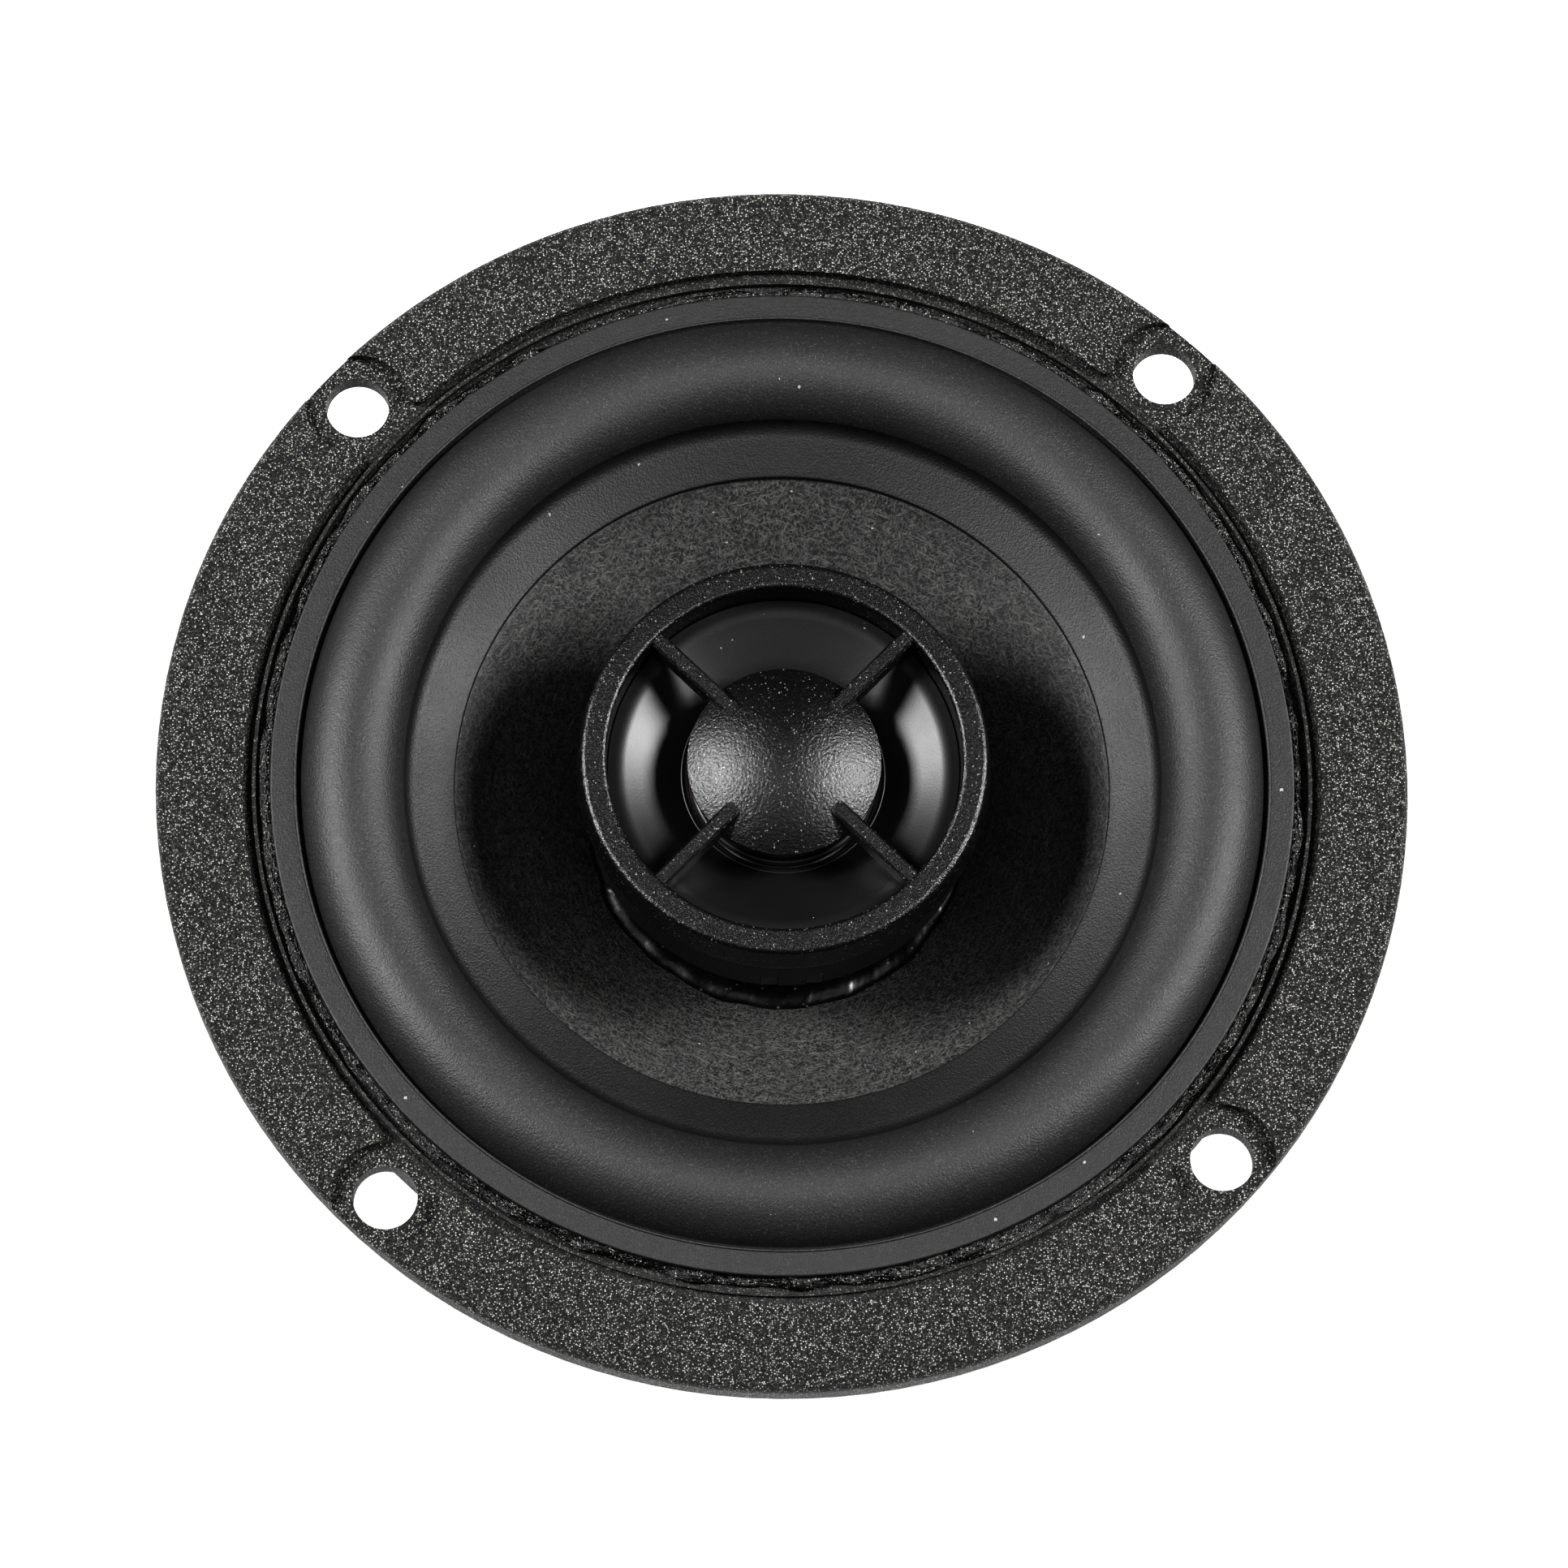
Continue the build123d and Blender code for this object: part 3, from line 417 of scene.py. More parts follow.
# %% A finish from its parts
class Finish:
    """A Principled material whose colour, roughness and relief can each be driven by an effect."""

    def __init__(self, name, color, roughness, **constants):
        self.material = bpy.data.materials.new(name)
        self.material.use_nodes = True
        self.tree = self.material.node_tree
        self.shader = self.tree.nodes["Principled BSDF"]
        self.color = (*color, 1.0)
        self.roughness = roughness
        self.height = None
        type_in(self.shader, Base_Color=self.color, Roughness=roughness, **constants)

    def use(self, group, **sizes):
        """Adds an effect at its own sizes and gives its outputs."""
        node = add_node(self.tree, "Group", node_tree=group)
        type_in(node, **sizes)
        return node.outputs

    def tint(self, mask, color, share=1.0):
        """Moves the colour towards another one where the mask is high."""
        mix = add_node(self.tree, "Mix", data_type="RGBA")
        feed(self.tree, calc(self.tree, "MULTIPLY", mask, share), mix.inputs["Factor"])
        feed(self.tree, self.color, mix.inputs["A"])
        feed(self.tree, (*color, 1.0), mix.inputs["B"])
        self.color = mix.outputs["Result"]
        feed(self.tree, self.color, self.shader.inputs["Base Color"])

    def polish(self, mask, roughness, share=1.0):
        """Moves the roughness towards another value where the mask is high."""
        mix = add_node(self.tree, "Mix", data_type="FLOAT")
        feed(self.tree, calc(self.tree, "MULTIPLY", mask, share), mix.inputs["Factor"])
        feed(self.tree, self.roughness, mix.inputs["A"])
        feed(self.tree, roughness, mix.inputs["B"])
        self.roughness = mix.outputs["Result"]
        feed(self.tree, self.roughness, self.shader.inputs["Roughness"])

    def relief(self, height, depth_mm):
        """Adds a height, in millimetres, to the relief of the surface."""
        scaled = calc(self.tree, "MULTIPLY", height, depth_mm)
        self.height = scaled if self.height is None else calc(self.tree, "ADD", self.height, scaled)

    def done(self):
        """Turns the height into relief and gives the material."""
        if self.height is not None:
            bump = add_node(self.tree, "Bump")
            type_in(bump, Distance=MM, Strength=1.0)
            feed(self.tree, self.height, bump.inputs["Height"])
            feed(self.tree, bump.outputs["Normal"], self.shader.inputs["Normal"])
        return self.material


# %% [markdown]
# ## Black finishes of the front
# The flange is cast metal under a coarse black powder coat: a dark ground with grain, and painted glints,
# bright specks about a sixth of a millimetre painted into its colour as painted highlights. The groove inside
# it has less coat, so a smoother grain, and is painted darker as painted shade. The tweeter's trim ring,
# spokes and cap share one moulded grain with a few painted glints. The housing and the horn are smooth satin
# plastic, the edge is matt rubber with a very fine skin, with painted shade on its inner lip by the cone and
# on its flat outer lip, and the cone is pressed dyed fibre.

# %% Coat, grained plastic and smooth plastic
def powder_coat():
    """Black coat with painted glints (painted highlights); smoother in the groove, which gets painted shade.
    """
    finish = Finish("powder_coat", (0.0015, 0.0015, 0.0015), 0.46, Specular_IOR_Level=0.28)
    grain = finish.use(GRAIN, Size=0.22)
    painted_glints = finish.use(PAINTED_GLINTS, Size=0.155, Amount=0.64)["Mask"]
    groove = finish.use(BAND, Inner=41.6, Outer=43.86, Low=1.6, High=2.7)["Mask"]
    open_coat = calc(finish.tree, "SUBTRACT", 1.0, calc(finish.tree, "MULTIPLY", groove, 0.5))
    finish.tint(grain["Patch"], (0.030, 0.030, 0.0285), 0.9)
    # Painted highlights: bright specks painted into the coat's colour.
    finish.tint(painted_glints, (0.66, 0.655, 0.61), 0.95)
    finish.polish(painted_glints, 0.30)
    # Painted shade: the groove is painted darker where little light gets in.
    finish.tint(groove, (0.004, 0.004, 0.004), 0.68)
    finish.relief(calc(finish.tree, "MULTIPLY", grain["Height"], open_coat), 0.18)
    return finish.done()


def grained_plastic():
    """Moulded black grain of the trim ring, the spokes and the cap, with a few painted glints."""
    finish = Finish("grained_plastic", (0.003, 0.003, 0.003), 0.28, Specular_IOR_Level=0.55)
    grain = finish.use(GRAIN, Size=0.24)
    painted_glints = finish.use(PAINTED_GLINTS, Size=0.17, Amount=0.10)["Mask"]
    finish.tint(grain["Patch"], (0.008, 0.008, 0.0078), 0.7)
    # Painted highlights: a few bright specks painted into the colour.
    finish.tint(painted_glints, (0.45, 0.44, 0.42), 0.65)
    finish.relief(grain["Height"], 0.041)
    return finish.done()


def smooth_plastic(name, color, roughness):
    """Satin plastic with a slow change of gloss and a little dust."""
    finish = Finish(name, color, roughness)
    drift = finish.use(DRIFT, Size=6.0)["Value"]
    dust = finish.use(DUST, Size=0.9, Amount=0.10)["Mask"]
    skin = finish.use(GRAIN, Size=0.12)
    finish.polish(drift, roughness + 0.06, 0.7)
    finish.tint(dust, (0.30, 0.30, 0.29), 0.6)
    finish.relief(skin["Height"], 0.004)
    return finish.done()


def edge_rubber():
    """Matt rubber with a fine skin, faint painted glints, and painted shade on the inner lip by the cone and
    on the outer lip.
    """
    finish = Finish("edge_rubber", (0.013, 0.013, 0.013), 0.44)
    skin = finish.use(GRAIN, Size=0.18)
    drift = finish.use(DRIFT, Size=11.0)["Value"]
    inner_lip_shade = finish.use(BAND, Inner=26.0, Outer=31.0, Low=-2.0, High=2.45)["Mask"]
    outer_lip_shade = finish.use(BAND, Inner=39.72, Outer=41.9, Low=2.5, High=3.2)["Mask"]
    dust = finish.use(DUST, Size=1.5, Amount=0.10)["Mask"]
    painted_glints = finish.use(PAINTED_GLINTS, Size=0.22, Amount=0.30)["Mask"]
    finish.tint(skin["Patch"], (0.030, 0.030, 0.0296), 0.7)
    # Painted highlights: faint pale specks painted into the rubber's colour.
    finish.tint(painted_glints, (0.075, 0.075, 0.074), 0.6)
    # Painted shade: the inner lip, in the hollow between the roll and the cone, is painted darker.
    finish.tint(inner_lip_shade, (0.003, 0.003, 0.003), 0.75)
    # Painted shade: the flat outer lip is painted darker.
    finish.tint(outer_lip_shade, (0.003, 0.003, 0.003), 0.45)
    finish.tint(dust, (0.30, 0.30, 0.29), 0.8)
    finish.polish(drift, 0.56, 0.7)
    finish.relief(skin["Height"], 0.034)
    return finish.done()


def cone_fibre():
    """Dyed paper pulp with paler fibres."""
    finish = Finish("cone_fibre", (0.007, 0.007, 0.0072), 0.60)
    fibres = finish.use(FIBRES, Size=0.16)
    drift = finish.use(DRIFT, Size=5.0)["Value"]
    dust = finish.use(DUST, Size=1.1, Amount=0.12)["Mask"]
    finish.tint(fibres["Tone"], (0.125, 0.123, 0.120), 0.8)
    finish.tint(drift, (0.030, 0.030, 0.030), 0.35)
    finish.tint(dust, (0.36, 0.36, 0.35), 0.7)
    finish.relief(fibres["Height"], 0.06)
    return finish.done()


def wet_adhesive():
    """Glossy black glue of the neck, with a few painted glints."""
    finish = Finish("wet_adhesive", (0.003, 0.003, 0.003), 0.24)
    drift = finish.use(DRIFT, Size=1.5)["Value"]
    painted_glints = finish.use(PAINTED_GLINTS, Size=0.30, Amount=0.05)["Mask"]
    # Painted highlights: a few pale specks painted into the glue's colour.
    finish.tint(painted_glints, (0.20, 0.20, 0.19), 0.6)
    finish.polish(drift, 0.40, 0.8)
    finish.relief(drift, 0.02)
    return finish.done()


def groove_glue():
    """Rough dried glue with painted glints, bright specks painted into its colour as highlights."""
    finish = Finish("groove_glue", (0.004, 0.004, 0.004), 0.22)
    grain = finish.use(GRAIN, Size=0.22)
    painted_glints = finish.use(PAINTED_GLINTS, Size=0.17, Amount=0.34)["Mask"]
    # Painted highlights: bright specks painted into the glue's colour.
    finish.tint(painted_glints, (0.55, 0.545, 0.50), 0.9)
    finish.relief(grain["Height"], 0.10)
    return finish.done()


POWDER_COAT = powder_coat()
GRAINED_PLASTIC = grained_plastic()
HOUSING_PLASTIC = smooth_plastic("housing_plastic", (0.005, 0.005, 0.005), 0.44)
HORN_PLASTIC = smooth_plastic("horn_plastic", (0.005, 0.005, 0.005), 0.37)
EDGE_SKIN = smooth_plastic("dome_edge_skin", (0.008, 0.008, 0.008), 0.34)
BASE_PLASTIC = smooth_plastic("base_plastic", (0.035, 0.035, 0.036), 0.45)
POST_PLASTIC = smooth_plastic("post_plastic", (0.030, 0.030, 0.031), 0.48)
EDGE_RUBBER = edge_rubber()
CONE_FIBRE = cone_fibre()
WET_ADHESIVE = wet_adhesive()
GROOVE_GLUE = groove_glue()
print("front finishes ready")

# %% [markdown]
# ## Finishes of the motor and the wiring
# The plates are zinc plated steel with lathe rings, the magnet is dark ground ferrite, the spider is
# varnished cloth and the windings are enamelled copper. The board is laminated fibre, and its blades and
# rivets are brass.

# %% Metals
def turned_metal(name, color, roughness):
    """Plated steel with lathe rings."""
    finish = Finish(name, color, roughness, Metallic=1.0)
    rings = finish.use(RINGS, Pitch=0.12)["Height"]
    drift = finish.use(DRIFT, Size=7.0)["Value"]
    finish.polish(drift, roughness + 0.14, 0.8)
    finish.tint(drift, tuple(0.82 * c for c in color), 0.6)
    finish.relief(rings, 0.008)
    return finish.done()


def stamped_metal(name, color, roughness):
    """Sheet metal with uneven gloss."""
    finish = Finish(name, color, roughness, Metallic=1.0)
    drift = finish.use(DRIFT, Size=2.5)["Value"]
    skin = finish.use(GRAIN, Size=0.10)["Height"]
    finish.polish(drift, roughness + 0.18, 0.8)
    finish.tint(drift, tuple(0.75 * c for c in color), 0.5)
    finish.relief(skin, 0.006)
    return finish.done()


def ferrite():
    """Ground dark ferrite."""
    finish = Finish("ferrite", (0.040, 0.040, 0.042), 0.46)
    grain = finish.use(GRAIN, Size=0.10)
    drift = finish.use(DRIFT, Size=9.0)["Value"]
    rings = finish.use(RINGS, Pitch=0.25)["Height"]
    finish.tint(drift, (0.070, 0.069, 0.068), 0.6)
    finish.tint(grain["Patch"], (0.055, 0.055, 0.056), 0.5)
    finish.relief(grain["Height"], 0.008)
    finish.relief(rings, 0.010)
    return finish.done()


ZINC = turned_metal("zinc_plate", (0.36, 0.37, 0.38), 0.34)
NICKEL = turned_metal("nickel_plate", (0.62, 0.60, 0.56), 0.22)
DARK_METAL = turned_metal("dark_metal", (0.22, 0.22, 0.23), 0.26)
BRASS = stamped_metal("brass", (0.50, 0.36, 0.14), 0.30)
BRIGHT_TIN = stamped_metal("bright_tin", (0.70, 0.70, 0.71), 0.28)
FERRITE = ferrite()


# %% Copper, cloth, board and sleeve
def copper_winding():
    """Enamelled copper turns."""
    finish = Finish("copper_winding", (0.62, 0.25, 0.10), 0.28, Metallic=1.0, Coat_Weight=0.6)
    rings = finish.use(RINGS, Pitch=0.2)["Height"]
    finish.relief(rings, 0.10)
    finish.tint(rings, (0.36, 0.12, 0.05), 0.6)
    return finish.done()


def copper_braid():
    """Bare twisted copper."""
    finish = Finish("copper_braid", (0.66, 0.33, 0.17), 0.40, Metallic=0.9)
    grain = finish.use(GRAIN, Size=0.12)
    finish.tint(grain["Patch"], (0.30, 0.13, 0.06), 0.7)
    finish.relief(grain["Height"], 0.03)
    return finish.done()


def spider_cloth():
    """Varnished yellow-brown cloth."""
    finish = Finish("spider_cloth", (0.36, 0.22, 0.07), 0.72, Sheen_Weight=0.2)
    weave = finish.use(WEAVE, Pitch=0.55)["Height"]
    drift = finish.use(DRIFT, Size=6.0)["Value"]
    finish.tint(stretch(finish.tree, weave, 0.1, 1.0), (0.50, 0.34, 0.13), 0.8)
    finish.tint(drift, (0.27, 0.15, 0.045), 0.5)
    finish.relief(weave, 0.06)
    return finish.done()


def dome_silk():
    """Coated black silk."""
    finish = Finish("dome_silk", (0.012, 0.012, 0.013), 0.38, Sheen_Weight=0.15)
    weave = finish.use(WEAVE, Pitch=0.28)["Height"]
    finish.tint(stretch(finish.tree, weave, 0.2, 1.0), (0.022, 0.022, 0.023), 0.7)
    finish.relief(weave, 0.018)
    return finish.done()


def fibre_board():
    """Brown laminated fibre."""
    finish = Finish("fibre_board", (0.14, 0.075, 0.030), 0.55)
    weave = finish.use(WEAVE, Pitch=0.9)["Height"]
    drift = finish.use(DRIFT, Size=3.0)["Value"]
    finish.tint(stretch(finish.tree, weave, 0.0, 1.0), (0.19, 0.11, 0.048), 0.5)
    finish.tint(drift, (0.10, 0.052, 0.020), 0.6)
    finish.relief(weave, 0.015)
    return finish.done()


def wrapped_sleeve(name, color):
    """Shiny shrink-wrapped sleeve or wire skin."""
    finish = Finish(name, color, 0.24)
    drift = finish.use(DRIFT, Size=2.0)["Value"]
    skin = finish.use(GRAIN, Size=0.25)["Height"]
    finish.polish(drift, 0.36, 0.8)
    finish.relief(skin, 0.006)
    return finish.done()


COPPER = copper_winding()
BRAID = copper_braid()
SPIDER_CLOTH = spider_cloth()
DOME_SILK = dome_silk()
FIBRE_BOARD = fibre_board()
SLEEVE = wrapped_sleeve("capacitor_sleeve", (0.016, 0.030, 0.085))
WIRE_SKIN = wrapped_sleeve("wire_skin", (0.020, 0.020, 0.021))
print("motor and wiring finishes ready")

# %% [markdown]
# ## Paint the hard parts
# The design's own parts already have their final shape, so they stay and only get their finish.

# %% Finish of each carried-over part
CAD_FINISHES = {
    "basket": POWDER_COAT,
    "tweeter_grille": GRAINED_PLASTIC,
    "tweeter_housing": HOUSING_PLASTIC,
    "tweeter_base": BASE_PLASTIC,
    "tweeter_post": POST_PLASTIC,
    "top_plate": ZINC, "yoke": ZINC, "motor_screws": ZINC, "post_nut": ZINC, "tweeter_screws": ZINC,
    "tweeter_yoke": ZINC, "tweeter_pole_washer": ZINC,
    "magnet_ring": FERRITE,
    "tweeter_magnet": NICKEL,
    "voice_coil_former": BRIGHT_TIN, "tweeter_coil_former": BRIGHT_TIN,
    "voice_coil": COPPER, "tweeter_coil": COPPER,
    "lead_eyelets": BRASS, "positive_terminal": BRASS, "negative_terminal": BRASS,
    "terminal_rivets": BRASS, "board_rivets": BRIGHT_TIN, "capacitor_leads": BRIGHT_TIN,
    "terminal_board": FIBRE_BOARD,
    "capacitor": SLEEVE,
    "tweeter_leads": WIRE_SKIN,
}
for node, material in CAD_FINISHES.items():
    for material_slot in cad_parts[node].material_slots:
        material_slot.material = material
print("finished parts:", len(CAD_FINISHES))

# %% [markdown]
# ## Surfaces from numpy
# Almost everything on a speaker is turned: an outline in radius and height, carried round the axis. The
# outline is drawn with straight runs and arcs, as whole arrays, and the mesh is the grid that this outline
# sweeps. A closed outline gives a closed solid, so each piece has a true thickness.

# %% Outlines
def run(start, end, count=2):
    """Straight run: start + t (end - start)."""
    t = np.linspace(0.0, 1.0, count)[:, None]
    return np.array(start) * (1 - t) + np.array(end) * t


def bow(start, through, end, count=24):
    """Circular arc through three points: the centre has equal distance to all three."""
    a, b, c = (np.array(p, float) for p in (start, through, end))
    rows = 2 * np.array([b - a, c - a])
    centre = np.linalg.solve(rows, [b @ b - a @ a, c @ c - a @ a])
    angles = [math.atan2(*(p - centre)[::-1]) for p in (a, b, c)]
    sweep = (angles[2] - angles[0]) % (2 * math.pi)
    if (angles[1] - angles[0]) % (2 * math.pi) > sweep:
        sweep -= 2 * math.pi
    t = angles[0] + np.linspace(0.0, sweep, count)
    return centre + np.linalg.norm(a - centre) * np.stack([np.cos(t), np.sin(t)], 1)


def joined(*stretches):
    """One closed outline from stretches that meet, without the doubled meeting points."""
    points = np.concatenate(stretches)
    gap = np.linalg.norm(points - np.roll(points, 1, axis=0), axis=1)
    return points[gap > 1e-6]


def thick(line, thickness):
    """Closed outline of a sheet: the line, and the line moved sideways by its own normals."""
    along = np.gradient(line, axis=0)
    normal = np.stack([along[:, 1], -along[:, 0]], 1)
    normal /= np.linalg.norm(normal, axis=1)[:, None]
    return np.concatenate([line, (line + normal * thickness)[::-1]])


# %% Uneven round the circle
def round_noise(angle, seed, orders):
    """Smooth noise on a circle: a sum of sines of whole orders, with fixed random phases."""
    random = np.random.default_rng(seed)
    phases = random.uniform(0, 2 * math.pi, len(orders))
    sizes = random.uniform(0.4, 1.0, len(orders)) / np.sqrt(len(orders))
    return (sizes * np.sin(angle[..., None] * np.array(orders) + phases)).sum(-1)


# %% From a grid to a piece
CREASE = 35.0


def grid_faces(rows, columns, wrap_rows, wrap_columns):
    """Index quadruples of the cells of a grid."""
    index = np.arange(rows * columns).reshape(rows, columns)
    down = np.roll(index, -1, axis=0)
    right = np.roll(index, -1, axis=1)
    diagonal = np.roll(down, -1, axis=1)
    quads = np.stack([index, down, diagonal, right], -1)
    quads = quads[: rows if wrap_rows else rows - 1, : columns if wrap_columns else columns - 1]
    return quads.reshape(-1, 4).tolist()


def make_piece(name, points, faces, material, body=None, node=None, crease=CREASE):
    """Mesh from arrays in millimetres: doubles merged, normals outward, finished and attached."""
    mesh = bpy.data.meshes.new(name)
    mesh.from_pydata((points.reshape(-1, 3) * MM).tolist(), [], faces)
    work = bmesh.new()
    work.from_mesh(mesh)
    bmesh.ops.remove_doubles(work, verts=work.verts, dist=1e-7)
    bmesh.ops.recalc_face_normals(work, faces=work.faces)
    work.to_mesh(mesh)
    work.free()
    mesh.shade_smooth()
    mesh.set_sharp_from_angle(angle=math.radians(crease))
    mesh.materials.append(material)
    piece = bpy.data.objects.new(name, mesh)
    bpy.context.scene.collection.objects.link(piece)
    if body:
        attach(piece, body)
    if node:
        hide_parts(node)
    print(name, "faces", len(mesh.polygons))
    return piece


# %% From an outline to a turned piece
def angles_round(steps):
    """Equal steps of the angle about the axis, as a column."""
    return np.linspace(0.0, 2 * math.pi, steps, endpoint=False)[:, None]


def polar_points(r, angle, z):
    """Points (r cos a, r sin a, z)."""
    return np.stack([r * np.cos(angle), r * np.sin(angle), z + 0 * angle], -1)


def turn_outline(outline, steps):
    """Grid that an outline of (r, z) sweeps at equal steps of the angle."""
    return polar_points(outline[:, 0][None, :], angles_round(steps), outline[:, 1][None, :])


def closed_piece(name, grid, material, body=None, node=None, crease=CREASE):
    """A piece from a grid that closes on itself both ways."""
    return make_piece(name, grid, grid_faces(*grid.shape[:2], True, True), material, body, node, crease)


def turned_piece(name, outline, material, body=None, node=None, steps=256, crease=CREASE):
    """A piece from an outline of (r, z) carried round the axis."""
    return closed_piece(name, turn_outline(outline, steps), material, body, node, crease)


# %% [markdown]
# ## The rubber edge
# The surround is moulded rubber: a flat lip glued to the basket's seat, a single half roll, and a lip that
# lies on the cone. When the cone moves, the outer lip stays, the inner lip rides with the cone and the roll
# between them rocks. Here the piece is only built and placed; it is not attached to either body, and no share
# of the cone's motion is written.

# %% Radii between two bodies
def share_by_radius(piece, fixed_r, moving_r, body):
    """Bakes the piece's placement into its points, reads them and prints the radii it would follow the body
    between.
    """
    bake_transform(piece)
    points = np.zeros(len(piece.data.vertices) * 3)
    piece.data.vertices.foreach_get("co", points)
    print(piece.name, "follows", body, "between radii", round(fixed_r, 2), "and", round(moving_r, 2))


# %% The rubber edge
SEAT_Z = 1.7
LIP_TOP_Z = 3.0
LIP_STEP_R = 39.6
ROLL_OUT = (39.25, 2.45)
ROLL_TOP = (35.05, node_box("surround")[1][2])
ROLL_IN = (30.85, 2.35)
LIP_BEND = (29.7, 0.98)
CONE_LIP_R = 26.8
CONE_LIP_Z = -0.35
CONE_FRONT_Z = -0.95
CONE_RIM_Z = 0.60
GLUE_T = 0.12
SKIN = 0.6


def steps_from(point, *steps):
    """Points at small steps from one point."""
    return [(point[0] + r, point[1] + z) for r, z in steps]


def surround_outline():
    """The top from the outer lip over the roll to the cone, and back underneath, a skin's thickness lower."""
    corner = steps_from((SURROUND_R, LIP_TOP_Z), (0.0, -0.15), (-0.05, -0.05), (-0.2, 0.0))
    flash = steps_from((LIP_STEP_R, LIP_TOP_Z), (0.16, 0.0), (0.04, 0.12), (-0.08, 0.0), (-0.18, -0.34))
    tip = steps_from((CONE_LIP_R, CONE_LIP_Z), (0.12, 0.06), (0.02, -0.03), (0.0, -0.14))
    hollow = steps_from(ROLL_IN, (-0.42, -0.92))[0]
    top = [
        run((SURROUND_R, SEAT_Z), corner[0]), bow(*corner, 6), run(corner[2], flash[0], 8),
        bow(*flash[:3], 9), bow(flash[2], flash[3], ROLL_OUT, 8), bow(ROLL_OUT, ROLL_TOP, ROLL_IN, 64),
        bow(ROLL_IN, hollow, LIP_BEND, 10), run(LIP_BEND, tip[0], 12), bow(*tip, 5),
    ]
    inner_out = (ROLL_OUT[0] - SKIN, ROLL_OUT[1] - 0.25)
    inner_in = (ROLL_IN[0] + SKIN, ROLL_IN[1] - 0.15)
    inner_top = (ROLL_TOP[0], ROLL_TOP[1] - SKIN)
    cone_lip, cone_rim = (CONE_LIP_R, CONE_FRONT_Z + GLUE_T), (CONE_RIM_R, CONE_RIM_Z + GLUE_T)
    seat_in = (ROLL_OUT[0] - SKIN, SEAT_Z)
    bottom = [
        run(cone_lip, cone_rim, 8), run(cone_rim, inner_in), bow(inner_in, inner_top, inner_out, 40),
        run(inner_out, seat_in), run(seat_in, (SURROUND_R, SEAT_Z), 4),
    ]
    return joined(*top, *bottom)


surround = turned_piece("rubber_surround", surround_outline(), EDGE_RUBBER, steps=360, crease=50.0)
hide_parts("surround")
share_by_radius(surround, LIP_STEP_R, ROLL_IN[0], "cone_assembly")

# %% [markdown]
# ## Glue round the edge
# The edge's lip is glued to the basket's seat, and some of the black glue is squeezed up into the groove
# round it. It dries rough and uneven, so its height and its outer side wander round the circle.

# %% Glue round the edge
GROOVE_FLOOR_Z = 2.0
GROOVE_WALL_R = 42.75
SINK = 0.02


def squeezed_glue():
    """Crown z = floor + h(a) sin(pi (0.35 + 0.65 t)), with r from the lip's side to a wandering far side."""
    angle = angles_round(1080)
    t = np.linspace(0, 1, 12)[None, :]
    reach = np.clip(0.78 + 0.30 * round_noise(angle, 21, [3, 7, 16, 31, 57]), 0.35, 1.0)
    height = 0.34 + 0.42 * round_noise(angle, 22, [4, 9, 19, 37, 71, 131])
    ripple = 0.10 * round_noise(angle + 0.2 * t, 23, [97, 149, 211])
    r = SURROUND_R + reach * (GROOVE_WALL_R - SURROUND_R) * t
    z = GROOVE_FLOOR_Z + np.clip(height + ripple, 0.08, 0.85) * np.sin(math.pi * (0.35 + 0.65 * t))
    under = np.full_like(z, GROOVE_FLOOR_Z - SINK)
    return np.concatenate([polar_points(r, angle, z), polar_points(r, angle, under)[:, ::-1]], 1)


lip_glue = closed_piece("lip_glue", squeezed_glue(), GROOVE_GLUE, "chassis", crease=60.0)

# %% [markdown]
# ## The cone
# The cone is pressed from dyed paper pulp, a little thicker at the neck than at the rim. Its front is almost
# straight, with a slight belly.

# %% The cone
CONE_LIP = (CONE_LIP_R, CONE_FRONT_Z)
CONE_MID = (20.3, -7.2)
CONE_NECK = (FORMER_R, -14.7)
CONE_T = 0.7
MID_DROP = 1.35 * CONE_T
NECK_DROP = 1.45 * CONE_T


def cone_outline():
    """Front from the rim to the neck, and the back from the neck to the rim, lower by the wall's drop."""
    rim = (CONE_RIM_R, CONE_RIM_Z)
    rim_back, lip_back = (rim[0], rim[1] - CONE_T), (CONE_LIP[0], CONE_LIP[1] - CONE_T)
    mid_back, neck_back = (CONE_MID[0], CONE_MID[1] - MID_DROP), (CONE_NECK[0], CONE_NECK[1] - NECK_DROP)
    return joined(
        run(rim, CONE_LIP, 8), bow(CONE_LIP, CONE_MID, CONE_NECK, 48), run(CONE_NECK, neck_back, 3),
        bow(neck_back, mid_back, lip_back, 48), run(lip_back, rim_back, 8), run(rim_back, rim, 3))


turned_piece("fibre_cone", cone_outline(), CONE_FIBRE, "cone_assembly", "cone", 300)

# %% [markdown]
# ## The glue at the neck
# A thick bead of black glue holds the cone to the former. It is laid by hand or by a nozzle, so its foot
# wanders and small lumps stand on it. The outline is a low crown; noise round the circle moves its foot and
# its height.

# %% The glue at the neck
BEAD_MEAN_R = outer_radius("neck_adhesive") - 0.55


def cone_front_z(r):
    """Height of the cone's front at a radius, on the arc through its three points."""
    arc = bow(CONE_NECK, CONE_MID, CONE_LIP, 64)
    return np.interp(r, arc[:, 0], arc[:, 1])


